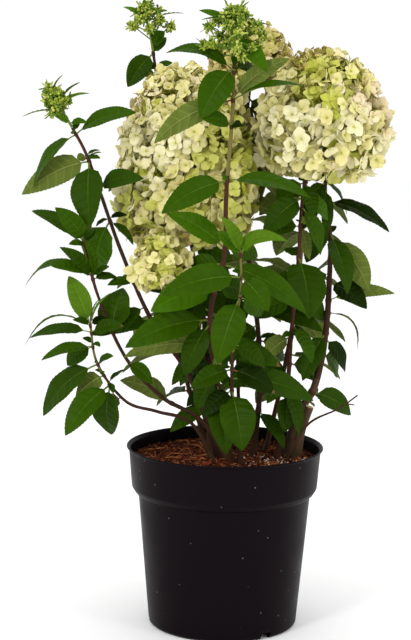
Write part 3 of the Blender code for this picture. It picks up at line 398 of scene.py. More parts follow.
BARK = {
    "tall_left": (BROWN, RED, 0.78),
    "left": (BROWN, RED, 0.60),
    "low_left": (BROWN, OLIVE, 0.72),
    "back_left": (BROWN, BROWN, 0.9),
    "front": (RED, OLIVE, 0.74),
    "front_low": (BROWN, OLIVE, 0.55),
    "back_centre": (BROWN, RED, 0.7),
    "right": (RED, RED, 0.9),
    "far_right": (GREY, BROWN, 0.30),
    "left_centre": (BROWN, OLIVE, 0.7),
    "rear_left": (BROWN, OLIVE, 0.6),
    "rear_right": (RED, OLIVE, 0.6),
    "rear_centre": (BROWN, OLIVE, 0.5),
}

# Leaves: their colours in the order of their material numbers. The first four are darker and lighter
# copies of one green: the darker ones are painted shade on leaves behind, inside and low down, the
# lighter ones are partly the fresher green of young leaves and partly painted light on leaves in
# front
LEAF_COLOURS = ("dark", "mature", "fresh", "bright", "rosette", "underside", "rib", "stalk",
                "green_stalk", "dry")
UNDERSIDE_SLOT, RIB_SLOT, STALK_SLOT, GREEN_STALK_SLOT, DRY_SLOT = range(5, 10)
RED_STALKS = 0.2
# The shoots and heights whose leaves get the lighter greens, partly their own fresher green and
# partly painted light, and the height below which front leaves get a darker green as painted shade
FRESH_AND_LIT_SHOOTS = ("front", "right", "tall_left", "left")
FRESH_AND_LIT_HEIGHT = 0.45
SHADY_HEIGHT = 0.33
ROSETTE_SHOOTS = ("front_low", "low_left")
ROSETTE_RISE = 0.014
HIGH_LEAF = 0.60
LEAF_GROUPS = {
    "leaves_left": ("tall_left", "left", "low_left"),
    "leaves_front": ("front", "front_low"),
    "leaves_right": ("right", "far_right"),
    "leaves_middle": ("left_centre", "back_centre", "back_left"),
    "leaves_rear": ("rear_left", "rear_right", "rear_centre"),
    "leaves_of_buds": ("bud_panicle_left", "bud_panicle_back", "bud_panicle_front"),
}

# Leaves on finer twigs, in the same form as those of the shoots, and the leaves that lie
# otherwise than their solids: by shoot and number, their turn in degrees and width in mm
FINE_NODES = {
    "front": (
        (592, (58, -6, 42, 19, 165)), (398, (-56, 30, -8, 34, 12)), (348, (-26, -6, -56, 26, 6)),
        (340, (-16, 22, -34, 11, 10)), (312, (22, -16, -32, 13, 160)), (290, (-20, 4, -40, 20, 10)),
    ),
    "front_low": (
        (330, (40, 20, -22, 22, 14)), (290, (90, 24, -28, 28, 12)), (255, (-18, -16, -26, 16, 10)),
    ),
    "back_centre": (
        (585, (14, -20, -30, 26, 10), (-10, -24, -50, 24, 10)),
        (545, (16, -24, -34, 28, 8), (-14, -30, -24, 24, 10)), (512, (20, -34, -40, 28, 8)),
        (380, (34, -40, -16, 24, 10), (-40, -8, -30, 26, 14)), (335, (-34, -26, -26, 26, 8)),
        (300, (-30, 2, -34, 24, 10), (30, 6, -40, 22, 14)),
        (247, (11, -4, 3, 4, 0), (-10, -6, 4, 3, 10)),
        (240, (12, -7, -8, 5, 0), (-22, -18, -30, 18, 8)),
    ),
    "right": (
        (472, (-12, 20, -58, 26, 14), (22, 6, -54, 20, 10)), (400, (-30, -24, -34, 26, 10)),
        (340, (22, -16, -40, 20, 20)), (283, (7, -4, -3, 3, 0), (-24, -10, -30, 16, 12)),
        (270, (25, -24, -56, 22, 8)),
    ),
    "far_right": (
        (490, (-6, -22, -62, 17, 4), (-16, 12, -58, 22, 10)), (452, (-20, 10, -52, 24, 12)),
        (438, (18, -40, -62, 28, 0)), (394, (-6, -16, -38, 15, 4)), (345, (24, 10, 6, 7, 150)),
        (322, (24, 10, -40, 20, 14)),
    ),
    "left_centre": (
        (378, (-30, -30, -36, 28, 8), (26, -18, -34, 26, 10)), (345, (30, -10, -34, 24, 10)),
        (318, (-26, -26, -40, 26, 6), (24, -6, -30, 18, 12)), (305, (-34, -34, -44, 21, 4)),
        (290, (-26, -40, -6, 16, 10)), (262, (18, -14, -18, 13, 8), (-20, -4, -26, 16, 10)),
    ),
    "left": (
        (396, (-30, -28, 46, 15, 20)), (300, (26, -10, -22, 16, 20)),
    ),
    "low_left": (
        (262, (-28, 16, -20, 18, 165)),
    ),
    "tall_left": (
        (360, (-34, -10, -26, 17, 16)), (305, (26, -14, -22, 16, 14)),
    ),
}
AXIL_LIFT = 3.0
AXIL_LENGTH = (10.0, 22.0)
AXIL_RISE = (0.1, 1.1)
AXIL_WIDTH = 0.44
LEAF_CHANGES = {
    ("front", 21): (5, 31), ("tall_left", 1): (34, 22), ("tall_left", 10): (30, 12),
    ("tall_left", 11): (25, 14), ("front", 2): (38, 17), ("left", 0): (36, 17),
    ("left", 1): (12, 21), ("left", 2): (165, 15), ("front_low", 0): (10, 13),
    ("front_low", 1): (10, 14), ("front_low", 3): (15, 15),
}

# Flower heads: the florets' colours, and for each head its main colour and the places of
# others (how far right and up, how wide and how strong), and its slot
FLORET_COLOURS = ("ivory", "cream", "lime", "moss", "blush", "tan", "straw", "heart")
HEART_SLOT = FLORET_COLOURS.index("heart")
SMALL_SLOT = FLORET_COLOURS.index("tan")
SMALL_SHARE = 0.62
EYE_RADIUS = 0.0013
HEAD_FLORETS = {"flower_head_top": 0.78, "flower_head_low": 0.92}
HEAD_COLOURS = {
    "flower_head_left": ("cream", (
        ("ivory", -0.40, 0.45, 0.75, 0.80),
        ("blush", -0.70, 0.72, 0.42, 0.80),
        ("tan", -0.80, 0.90, 0.30, 0.90),
        ("lime", 0.55, 0.50, 0.60, 0.74),
        ("lime", -0.85, 0.08, 0.42, 0.76),
        ("lime", 0.35, 0.05, 0.55, 0.68),
        ("moss", 0.85, 0.35, 0.40, 0.66),
    )),
    "flower_head_right": ("cream", (
        ("tan", -0.30, 0.98, 0.40, 0.95),
        ("lime", -0.10, 0.78, 0.55, 0.62),
        ("blush", 0.75, 0.60, 0.50, 0.88),
        ("ivory", -0.35, 0.32, 0.65, 0.74),
        ("ivory", 0.70, 0.25, 0.60, 0.70),
        ("moss", 0.00, 0.58, 0.40, 0.60),
    )),
    "flower_head_top": ("straw", (("blush", 0.70, 0.40, 0.70, 0.62), ("tan", 0.30, 0.90, 0.4, 0.6))),
    "flower_head_low": ("cream", (("lime", 0.00, 0.60, 0.80, 0.62),)),
    "flower_head_rear_left": ("cream", (("lime", 0.40, 0.50, 0.60, 0.66),)),
    "flower_head_rear_right": ("lime", (("cream", 0.00, 0.40, 0.90, 0.60),)),
}
HEAD_SLOTS = ("cream_floret", "lime_floret", "straw_floret", "cream_floret", "cream_floret",
              "lime_floret")
# Known widths of the two large heads by height, the florets' sizes by height, and how far out
# their middles sit, all as shares
HEAD_OUTLINES = {
    "flower_head_left": ((-0.07, 0.90), (0.10, 1.04), (0.30, 1.04), (0.55, 0.98), (0.68, 0.88),
                         (0.80, 0.81), (0.90, 0.66), (0.96, 0.42), (1.0, 0.0)),
    "flower_head_right": ((0.03, 0.72), (0.12, 0.86), (0.30, 0.99), (0.50, 0.92), (0.72, 0.72),
                          (0.86, 0.53), (0.96, 0.34), (1.0, 0.0)),
}
FLORET_GROWTH = ((0.0, 1.12), (0.45, 1.0), (0.75, 0.82), (1.0, 0.62))
FLORET_REACH = 0.93
INNER_SHARE = 0.88
INNER_SPACING = 1.05
# The inner layer's yellow-green is partly the inner florets' own colour and partly painted shade
# between the outer florets
INNER_MOSS = 0.55
MAIN_SCORE = 0.5
SCORE_SPREAD = 0.20
FLORET_DEPTHS = (-0.0035, 0.006)
HEAD_LUMPS = 0.040
HEAD_DENT = 0.10
STALK_REACH = 0.45
STALK_DROP = 0.10
STALK_LOWEST = 0.10
STALK_RADII = (0.0005, 0.0006, 0.0008)
STALK_BOW = 0.002
FLORET_SIZES = (0.78, 1.22)

# Bud panicles: the low clusters that finish the front one, and their beads and bracts
LOW_BUDS = {"bud_panicle_front": 13}
LOW_BUD_HEIGHTS = (0.0, 0.46)
LOW_BUD_SPREAD = (0.45, 0.95)
LOW_BUD_RISE = 0.12
BEADS = 28
BEAD_REACH = (0.35, 1.0)
BEAD_SHARES = (0.5, 0.28, 0.22)
BEADS_PER_BRACT = 4
BEAD_SIZES = (0.65, 1.25)
BEAD_STRETCH = np.array([1.0, 1.0, 1.4])
BEAD_STALK = 0.00035
BUD_TWIG_RADII = (0.0008, 0.0007, 0.0006)
BUD_GRAIN = 0.003
BRACT_HALF = (0.0011, 0.0004, 0.0034)
DARK_BUD_SLOT = 1

# Potting mix: the step of its surface, its lumps' width and noises (share, width, seed), how
# many dark crumbs, red chips, pale shreds and white grains lie on it, their half sizes in mm
# and how these vary, its fibres, and its materials with their two colours, roughness and grain
MIX_STEP = 0.0022
MIX_LUMPS = 0.022
MIX_NOISE = ((0.5, MIX_LUMPS, 1), (0.35, 0.4 * MIX_LUMPS, 2), (0.3, 0.15 * MIX_LUMPS, 3))
CRUMB_COUNTS = (520, 420, 130, 110)
CRUMB_HALVES = ((2.4, 1.6, 1.2), (3.4, 1.8, 0.8), (3.6, 0.9, 0.6), (1.1, 0.9, 0.8))
CRUMB_SIZES = (0.6, 1.35)
CRUMB_SHAPES = (0.7, 1.3)
CRUMB_LEVELS = (-0.2, 0.75)
CRUMB_MARGIN = 0.006
PERLITE_KIND = 3
PERLITE_SPREAD = 0.022
PERLITE_PATCH = (0.046, -0.012)
FIBRES = 420
FIBRE_KINDS = (0, 1, 2, 2)
FIBRE_LENGTH = (0.006, 0.022)
FIBRE_RADIUS = (0.00022, 0.0007)
FIBRE_LIFT = 0.0028
MIX_FINISHES = (
    ("composted_bark", "peat_brown", "bark_brown", 0.95, 0.004),
    ("peat_crumb", "peat_brown", "bark_brown", 0.95, 0.003),
    ("pine_bark_chip", "bark_brown", "chip_red", 0.85, 0.004),
    ("coir_shred", "chip_red", "chip_pale", 0.85, 0.004),
    ("perlite_grain", "perlite", "perlite", 0.9, 0.002),
)
DRAIN_SIDES = 24

# The pot's raised floor, the width of the foot ring round it and the step of its surface
RECESS = 0.0078
FOOT_WIDTH = 0.005
POT_STEP = 0.009

# Studio, in metres: each light's name, power setting, place and two sides, the camera's place,
# its pitch and roll in degrees and its focal length in pixels of the 411 x 640 picture
FLOOR_RADIUS = 6.0
FLOOR_SIDES = 96
LIGHT_AIM = (0.0, 0.0, 0.35)
LIGHTS = (
    ("key_light", "key_power", (-1.3, -1.9, 1.5), (0.5, 0.9)),
    ("fill_light", "fill_power", (1.6, -1.3, 0.9), (0.4, 0.9)),
    ("top_light", "fill_power", (0.1, 0.6, 2.0), (1.2, 1.2)),
)
CAMERA_PLACE = (-0.0238, -2.2, 0.688)
CAMERA_PITCH = 8.9
CAMERA_ROLL = -0.86
SENSOR_HEIGHT = 24.0
FOCAL_PIXELS = 2014.0
IMAGE_HEIGHT = 640.0

BOX_FACES = ((0, 1, 3, 2), (4, 6, 7, 5), (0, 4, 5, 1), (2, 3, 7, 6), (0, 2, 6, 4), (1, 5, 7, 3))


def unit(vector):
    """Vectors divided by their own length."""
    return vector / np.linalg.norm(vector, axis=-1, keepdims=True)


def reject(vector, axis):
    """The unit part of a vector that stands square to a unit axis."""
    return unit(vector - axis * np.sum(vector * axis, axis=-1, keepdims=True))


def square_axes(axis):
    """Two unit vectors square to an axis and to each other."""
    helper = np.zeros(3)
    helper[np.argmin(np.abs(axis))] = 1.0
    first = reject(helper, axis)
    return first, np.cross(axis, first)


def curve_through(points, steps=SPAN_STEPS):
    """A smooth curve through points in mm: a cubic between two points, whose slope at each is
    half the way between that point's neighbours."""
    known = np.array(points, dtype=float) * MM
    known = np.vstack([2 * known[0] - known[1], known, 2 * known[-1] - known[-2]])
    share = np.linspace(0.0, 1.0, steps, endpoint=False)[:, None]
    spans = []
    for a, b, c, d in zip(known, known[1:], known[2:], known[3:]):
        curve = 2 * b + (c - a) * share + (2 * a - 5 * b + 4 * c - d) * share**2
        spans.append(0.5 * (curve + (3 * b - a - 3 * c + d) * share**3))
    return np.vstack(spans + [known[-2:-1]])


def distances(curve):
    """How far along a curve each of its points lies."""
    steps = np.linalg.norm(np.diff(curve, axis=0), axis=1)
    return np.concatenate([[0.0], np.cumsum(steps)])


def at_distance(curve, where):
    """Places on a curve at distances along it."""
    along = distances(curve)
    return np.stack([np.interp(where, along, curve[:, i]) for i in range(3)], axis=-1)


def distance_at_height(curve, height):
    """How far along a rising curve a height is reached."""
    return float(np.interp(height, curve[:, 2], distances(curve)))


def way_at(curve, where):
    """The way a curve runs at some distances along it."""
    return at_distance(curve, where + WAY_STEP) - at_distance(curve, where - WAY_STEP)


def ring_places(start, end):
    """Even distances from start to end, about one ring apart."""
    return np.linspace(start, end, max(2, round((end - start) / RING_SPACING) + 1))


def tube(path, ways, radii, sides):
    """The plain shape of a closed tapering tube, with flat ends square to its ways."""
    ways = unit(np.array(ways))
    first = np.where(np.abs(ways[:, 1:2]) < 0.9, [0.0, 1.0, 0.0], [1.0, 0.0, 0.0])
    one = np.zeros(1, int)
    return plain(tubes(np.array(path)[None], np.array(radii)[None], first, sides, one, ways=ways))


def solid_tree(shape):
    """A search tree of a shape's faces."""
    return BVHTree.FromPolygons([Vector(place) for place in shape[0]], shape[1])


class Space:
    """Remembers the solids that are placed, to tell whether another one would touch them."""

    def __init__(self):
        self.placed = []

    def add(self, shape, owner):
        points = shape[0]
        self.placed.append((points.min(axis=0), points.max(axis=0), solid_tree(shape), owner))

    def free(self, shape, owner, own_shape=None):
        """Whether a shape touches nothing; own_shape is what is tested on its own node."""
        trees = {}
        for low, high, tree, holder in self.placed:
            own = holder == owner
            tested = own_shape if own else shape
            if tested is None:
                continue
            points = tested[0]
            if (points.min(axis=0) > high).any() or (points.max(axis=0) < low).any():
                continue
            if own not in trees:
                trees[own] = solid_tree(tested)
            if tree.overlap(trees[own]):
                return False
        return True


def leaf_axes(reach, turn, face):
    """The leaf's own axis, its upper side's normal and the way across it."""
    axis = unit(reach)
    toward = reject(face, axis)
    across = np.cross(axis, toward)
    if across[2] < 0.0:
        across = -across
    angle = math.radians(turn)
    normal = math.cos(angle) * toward + math.sin(angle) * across
    return axis, normal, np.cross(axis, normal)


def leaf_shape(root, reach, width, turn, rise, face, swell=0.0, blade_only=False):
    """The plain shape of a folded blade on its petiole, which tells whether a leaf has room."""
    axis, normal, across = leaf_axes(reach, turn, face)
    bow = reject(LEAF_BOW[0] * normal + LEAF_BOW[1] * UP, axis)
    thickness = max(PETIOLE_THICKNESS, LEAF_THICKNESS * np.linalg.norm(reach))
    points = []
    for share, fullness in LEAF_STATIONS[int(blade_only):]:
        half = max(PETIOLE_HALF_WIDTH, 0.5 * width * fullness) + swell
        thick = (thickness if fullness else PETIOLE_THICKNESS) + 2.0 * swell
        middle = root + reach * share + bow * rise * 4.0 * share * (1.0 - share)
        lift = normal * LEAF_FOLD * half * (1.0 if fullness else 0.0)
        points += [middle - across * half + lift, middle + normal * 0.5 * thick,
                   middle + across * half + lift, middle - normal * 0.5 * thick]
    faces = [[3, 2, 1, 0]]
    for near in range(0, len(points) - 4, 4):
        for edge, ridge in ((0, 1), (2, 1), (2, 3), (0, 3)):
            quad = [near + edge, near + ridge, near + 4 + ridge, near + 4 + edge]
            straight = near == 0 and not blade_only
            faces += [quad] if straight else [quad[:3], [quad[0], quad[2], quad[3]]]
    tip = len(points)
    points.append(root + reach + axis * swell)
    faces += [[tip - 4 + side, tip - 4 + (side + 1) % 4, tip] for side in range(4)]
    return np.array(points), faces


# A leaf that has found its room: the shoot or panicle it grows on, its number there, its root,
# reach, width, turn in degrees, the rise of its arch and the side it faces
Leaf = namedtuple("Leaf", "owner number root reach width turn rise face")


def place_leaf(space, owner, number, root, leaf, chance, crowded=False):
    """Finds room for a leaf near its wanted place, or returns None. A crowded leaf may run
    through its own node's other solids."""
    face = facing(root)
    wanted = np.array(leaf[:3]) * MM
    length = np.linalg.norm(wanted)
    for attempt in range(TRIES):
        share = attempt / (TRIES - 1)
        shift = np.array([chance.uniform(-1.0, 1.0) for _ in range(3)]) * share * TRY_REACH
        size = length * (1.0 - (1.0 - SHORTEST) * share)
        rise = leaf[5] * MM if len(leaf) > 5 else LEAF_ARCH * size
        reach = unit(wanted + shift) * size
        lie = (root, reach, leaf[3] * MM * size / length, leaf[4], rise, face)
        blade = None if crowded else leaf_shape(*lie, ROOM, True)
        shape = leaf_shape(*lie)
        if space.free(leaf_shape(*lie, ROOM), owner, blade) and space.free(shape, owner):
            space.add(shape, owner)
            return Leaf(owner, number, *lie)
    return None


def facing(root):
    """The side a leaf shows its upper face to: the viewer in front, outwards at the back."""
    outward = unit(np.array([root[0], root[1], 0.0]))
    if root[1] < BACK_HALF:
        return unit(VIEWER + OUTWARD_SHARE * outward)
    return unit(outward + BACK_RISE * UP)


def head_profile(head, scale):
    """The (radius, height) line of a flower head in metres, from under it to its top."""
    radius = head.radius * MM * scale
    height = head.height * MM
    share = np.linspace(0.0, 1.0, HEAD_STEPS)
    bowl = HEAD_FOOT + (1.0 - HEAD_FOOT) * np.sin(0.5 * math.pi * share / HEAD_WIDEST)
    above = np.abs(share - HEAD_WIDEST) / (1.0 - HEAD_WIDEST)
    dome = np.clip(1.0 - above ** HEAD_DOME[0], 0.0, 1.0) ** HEAD_DOME[1]
    swell = np.where(share < HEAD_WIDEST, bowl, dome)
    line = np.array([HEAD_UNDERSIDE] + list(zip(swell, share)))
    shrink = 0.5 * (1.0 - scale)
    line[:, 0] *= radius
    line[:, 1] = (shrink + line[:, 1] * scale) * height
    return line


def in_head(head, points):
    """Places of a flower head from points about its own foot."""
    lean = points[:, 2:3] / (head.height * MM) * np.array([[*head.lean, 0.0]]) * MM
    return points + lean + np.array(head.foot) * MM


def core_shape(head):
    """The plain shape of the solid inside a flower head."""
    line = head_profile(head, CORE_SHARE)
    rings = [tuple(line[i]) for i in CORE_STEPS]
    points, faces = turned([(0.0, line[0, 1]), *rings, (0.0, line[-1, 1])], CORE_SIDES)
    return in_head(head, points), faces


def pot_profile():
    """The (radius, height) line of the pot, from under its base over the lip to its floor."""
    return (
        (0.0, 0.0),
        (BASE_RADIUS - BASE_ROUNDING, 0.0),
        (BASE_RADIUS, BASE_ROUNDING),
        (BODY_TOP_RADIUS, BODY_TOP_HEIGHT),
        (0.5 * (BODY_TOP_RADIUS + COLLAR_FOOT_RADIUS), BODY_TOP_HEIGHT + WALL),
        (COLLAR_FOOT_RADIUS, COLLAR_FOOT_HEIGHT),
        (COLLAR_TOP_RADIUS, POT_HEIGHT - LIP_DEPTH),
        (RIM_RADIUS, POT_HEIGHT - LIP_ROUNDING),
        (RIM_RADIUS - LIP_ROUNDING, POT_HEIGHT),
        (COLLAR_TOP_RADIUS - WALL, POT_HEIGHT - LIP_DEPTH),
        (COLLAR_FOOT_RADIUS - WALL, COLLAR_FOOT_HEIGHT + 0.5 * WALL),
        (BODY_TOP_RADIUS - WALL, BODY_TOP_HEIGHT + WALL),
        (BASE_RADIUS - WALL, FLOOR),
        (0.0, FLOOR),
    )


def mix_profile():
    """The (radius, height) line of the filling, a little inside the pot's inner wall."""
    wall = pot_profile()[-2:-6:-1]
    radii = [radius - MIX_CLEARANCE for radius, _ in wall]
    heights = [height for _, height in wall]
    profile = [(0.0, FLOOR + GAP), (radii[0], FLOOR + GAP)]
    profile += list(zip(radii[1:3], heights[1:3]))
    return profile + [(float(np.interp(MIX_TOP, heights, radii)), MIX_TOP), (0.0, MIX_TOP)]


def taper(shoot, curve, where):
    """The radii of a shoot at distances along it, with a flare at the ground."""
    whole = distances(curve)[-1]
    radii = (shoot.foot_radius + (shoot.tip_radius - shoot.foot_radius) * where / whole) * MM
    above = at_distance(curve, where)[:, 2] - curve[0, 2]
    return radii * (1.0 + FLARE * np.exp(-above / FLARE_HEIGHT))


def ground_curve(route, steps=SPAN_STEPS):
    """The curve through a route, from the ground."""
    curve = curve_through(route, steps)
    curve[0, 2] = MIX_TOP + GAP
    return curve


def limb_shape(curve, where, radii, sides, rooted=True):
    """The plain shape of a limb along its curve, cut flat at the ground where it is rooted."""
    points, faces = tube(at_distance(curve, where), way_at(curve, where), radii, sides)
    if rooted:
        points[:sides, 2] = MIX_TOP + GAP
    return points, faces


def shoot_shapes(shoot):
    """The plain shapes of a shoot's bare lower length and of its leafy upper length."""
    curve = ground_curve(shoot.route)
    bare = distance_at_height(curve, shoot.bare * MM)
    low = np.insert(ring_places(0.0, bare), 1, FLARE_HEIGHT)
    high = ring_places(bare + GAP, distances(curve)[-1])
    return (limb_shape(curve, low, taper(shoot, curve, low), CANE_SIDES),
            limb_shape(curve, high, taper(shoot, curve, high), STEM_SIDES, False))


def tapering_shape(route, radii, sides):
    """The plain shape of a limb along a route in mm whose radius falls evenly."""
    curve = ground_curve(route)
    where = ring_places(0.0, distances(curve)[-1])
    return limb_shape(curve, where, np.linspace(*radii, len(where)) * MM, sides)


def named(kind, name):
    """The shoot, head or panicle of this name."""
    return next(item for item in kind if item.name == name)


def shoot_end(name):
    """Where a shoot's stem ends, the way it runs there and its radius."""
    shoot = named(SHOOTS, name)
    curve = ground_curve(shoot.route)
    way = unit(way_at(curve, distances(curve)[-1]))
    return curve[-1] + way * GAP, way, shoot.tip_radius * MM


def low_head_twig():
    """The line of the side twig from the tall left stem into the low flower head."""
    shoot = named(SHOOTS, "tall_left")
    head = named(HEADS, "flower_head_low")
    curve = ground_curve(shoot.route)
    place = at_distance(curve, distance_at_height(curve, LOW_TWIG_HEIGHT * MM))
    end = np.array(head.foot) * MM + UP * LOW_TWIG_END * head.height * MM
    return place + unit(end - place) * (shoot.foot_radius * MM + GAP), end


def head_stalk(head):
    """The three places that a head's stalk runs through, the way it sets out and its radius."""
    if not head.carrier:
        start, end = low_head_twig()
        return (start, 0.5 * (start + end), end), end - start, LOW_TWIG_RADIUS * MM
    start, way, radius = shoot_end(head.carrier)
    end = np.array(head.foot) * MM + UP * STALK_END * head.height * MM
    return (start, start + way * STALK_BEND * (end[2] - start[2]), end), way, radius


def head_stalk_shape(head):
    """The plain shape of a head's stalk."""
    (start, bend, end), way, radius = head_stalk(head)
    if not head.carrier:
        return tube((start, end), (way, way), (radius, 0.9 * radius), TWIG_SIDES + 1)
    return tube((start, bend, end), (way, end - start, end - bend), (radius,) * 3, STEM_SIDES)


def panicle_path(panicle):
    """The three places that a bud panicle's stem runs through."""
    start, way, _ = shoot_end(panicle.carrier)
    return np.array([start, start + way * PANICLE_BEND, np.array(panicle.tip) * MM])


def panicle_stem(panicle):
    """The plain shape of a bud panicle's stem."""
    path = panicle_path(panicle)
    _, way, radius = shoot_end(panicle.carrier)
    rise = path[2] - path[0]
    return tube(path, (way, rise, rise), (radius, 0.9 * radius, 0.4 * radius), STEM_SIDES)


def bud_shape(root, end, radius):
    """The plain shape of a cluster of buds on its side twig."""
    axis = unit(end - root)
    first, second = square_axes(axis)
    around = [end + way * radius for way in (axis, first, second, -first, -second)]
    faces = []
    for corner in range(4):
        near, following = 2 + corner, 2 + (corner + 1) % 4
        faces += [[0, near, following], [1, following, near]]
    return np.array([around[0], root, *around[1:]]), faces


def side_twig(panicle, number, height, spread, rise):
    """Where a numbered side twig leaves a panicle's stem and where it ends: the twigs stand a
    golden angle apart round the stem."""
    path = panicle_path(panicle)
    axis = unit(path[-1] - path[0])
    first, second = square_axes(axis)
    angle = number * GOLDEN_ANGLE
    side = math.cos(angle) * first + math.sin(angle) * second
    root = path[0] + (path[-1] - path[0]) * height
    return root, root + side * spread + axis * rise


def bud_clusters(panicle):
    """The root, end and radius of each bud cluster, on twigs that get shorter upwards."""
    chance = random.Random(SEED + panicle.buds)
    clusters = []
    for number in range(panicle.buds):
        share = number / (panicle.buds - 1)
        height = panicle.start + (PANICLE_END - panicle.start) * share
        spread = panicle.spread * MM * (1.0 - PANICLE_TAPER * share) * chance.uniform(0.65, 1.0)
        rise = BUD_TWIG_RISE * spread + BUD_TWIG_FOOT
        twig = side_twig(panicle, number, height, spread, rise)
        clusters.append((*twig, BUD_RADIUS * chance.uniform(0.85, 1.1)))
    return clusters


def leaves_on(nodes, curve, owner, space, chance, crowded=False):
    """The leaves that find room at their nodes along a stem."""
    leaves = []
    number = 0
    for height, *wanted in nodes:
        root = at_distance(curve, distance_at_height(curve, height * MM))
        for leaf in wanted:
            placed = place_leaf(space, owner, number, root, leaf, chance, crowded)
            number += 1
            if placed:
                leaves.append(placed)
    return leaves


@functools.cache
def grown_plant():
    """The leaves that have room, and the space that the stems and leaves take."""
    space = Space()
    space.add(turned(mix_profile(), POT_SIDES), "potting_mix")
    space.add(turned(pot_profile(), POT_SIDES), "pot")
    for shoot in SHOOTS:
        cane, stem = shoot_shapes(shoot)
        space.add(cane, "cane_" + shoot.name)
        space.add(stem, shoot.name)
    space.add(tapering_shape(STUB_ROUTE, STUB_RADIUS, CANE_SIDES), "sawn_stub")
    space.add(tapering_shape(TWIG_ROUTE, TWIG_RADIUS, STEM_SIDES), "bare_twig")
    for head in HEADS:
        space.add(core_shape(head), head.name)
        space.add(head_stalk_shape(head), head.name)
    for panicle in PANICLES:
        space.add(panicle_stem(panicle), panicle.name)
        for cluster in bud_clusters(panicle):
            space.add(bud_shape(*cluster), panicle.name)
    chance = random.Random(SEED)
    leaves = []
    for shoot in SHOOTS:
        leaves += leaves_on(shoot.nodes, ground_curve(shoot.route), shoot.name, space, chance)
    for panicle in PANICLES:
        leaves += leaves_on(panicle.leaves, panicle_path(panicle), panicle.name, space, chance, True)
    return leaves, space


# A surface: its points, its faces as rows of four point numbers (the last is -1 on a
# triangle), a material number for each face and a place on its own map for each point
Surface = namedtuple("Surface", "points faces slots map")


def bearings(turn):
    """Flat unit ways at turns about the Z axis."""
    return np.stack([np.cos(turn), np.sin(turn), 0.0 * turn], axis=-1)


def even_turns(sides):
    """So many even turns round a circle."""
    return 2.0 * math.pi * np.arange(sides) / sides


def plain_surface(points, faces):
    """A surface in one material with no map."""
    return Surface(points, faces, np.zeros(len(faces), int), np.zeros((len(points), 2)))


def plain(surface):
    """The plain shape of a surface: its points, and its faces as lists."""
    faces = [[corner for corner in face if corner >= 0] for face in surface.faces.tolist()]
    return surface.points, faces


def joined(surfaces):
    """One surface from several: their arrays end to end, with point numbers moved on."""
    starts = np.cumsum([0] + [len(surface.points) for surface in surfaces])
    moved = [surface._replace(faces=np.where(surface.faces >= 0, surface.faces + start, -1))
             for surface, start in zip(surfaces, starts)]
    return Surface(*(np.concatenate(arrays) for arrays in zip(*moved)))


def linked(name, data):
    """A new object in the scene, at the origin."""
    made = bpy.data.objects.new(name, data)
    bpy.context.scene.collection.objects.link(made)
    return made


def from_lists(name, points, faces):
    """A mesh from plain lists of points and faces."""
    mesh = bpy.data.meshes.new(name)
    mesh.from_pydata(points, [], faces)
    return mesh


def make_piece(name, surface, materials, nodes, sharp=40.0):
    """A smooth mesh object from a surface, which rides on the plant's one body."""
    mesh = bpy.data.meshes.new(name)
    corners = surface.faces[surface.faces >= 0]
    totals = (surface.faces >= 0).sum(axis=1)
    mesh.vertices.add(len(surface.points))
    mesh.vertices.foreach_set("co", surface.points.astype(np.float32).ravel())
    mesh.loops.add(len(corners))
    mesh.loops.foreach_set("vertex_index", corners.astype(np.int32))
    mesh.polygons.add(len(totals))
    starts = np.concatenate([[0], np.cumsum(totals)[:-1]])
    mesh.polygons.foreach_set("loop_start", starts.astype(np.int32))
    mesh.polygons.foreach_set("material_index", surface.slots.astype(np.int32))
    own_map = mesh.uv_layers.new(name=MAP_NAME)
    own_map.uv.foreach_set("vector", surface.map[corners].astype(np.float32).ravel())
    mesh.update(calc_edges=True)
    if mesh.validate():
        raise RuntimeError(f"{name} has faces that Blender can't keep")
    mesh.shade_smooth()
    mesh.set_sharp_from_angle(angle=math.radians(sharp))
    for material in materials:
        mesh.materials.append(material)
    piece = linked(name, mesh)
    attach(piece, "root")
    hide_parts(*nodes)
    return piece


def lattice_noise(points, size, seed=0):
    """Smooth values from -1 to 1: a hashed number at each corner of cubes of this size,
    blended across each cube along an S curve."""
    scaled = points / size
    cell = np.floor(scaled).astype(np.int64)
    part = scaled - cell
    part = part * part * (3.0 - 2.0 * part)
    total = np.zeros(points.shape[:-1])
    for corner in range(8):
        step = np.array([corner & 1, corner >> 1 & 1, corner >> 2])
        key = cell + step
        mixed = key[..., 0] * 73856093 ^ key[..., 1] * 19349663 ^ key[..., 2] * 83492791
        mixed = (mixed ^ seed * 2654435761) * 1274126177
        mixed = mixed ^ mixed >> 15
        value = (mixed & 0xFFFF) / 32767.5 - 1.0
        total += value * np.prod(np.where(step == 1, part, 1.0 - part), axis=-1)
    return total


def copies(points, layout, slots, chart):
    """One surface of many like shapes, from points (shapes x points x 3) and the faces and map
    of one shape. A -1 in the faces stays as it is."""
    count, size = points.shape[:2]
    moved = layout[None] + (size * np.arange(count))[:, None, None]
    faces = np.where(layout[None] >= 0, moved, -1)
    return Surface(points.reshape(-1, 3), faces.reshape(-1, 4), slots, np.tile(chart, (count, 1)))


def sheet_layout(rows, columns):
    """Faces of a closed thin sheet: an upper grid of points and a lower one that share their
    rim. The upper grid's points come first, then the lower grid's inner ones."""
    upper = np.arange(rows * columns).reshape(rows, columns)
    lower = upper.copy()
    inner = lower[1:-1, 1:-1]
    inner[:] = upper.size + np.arange(inner.size).reshape(inner.shape)
    above, below = (
        np.stack([g[:-1, :-1], g[:-1, 1:], g[1:, 1:], g[1:, :-1]], axis=-1).reshape(-1, 4)
        for g in (upper, lower)
    )
    return above, below[:, [0, 3, 2, 1]]


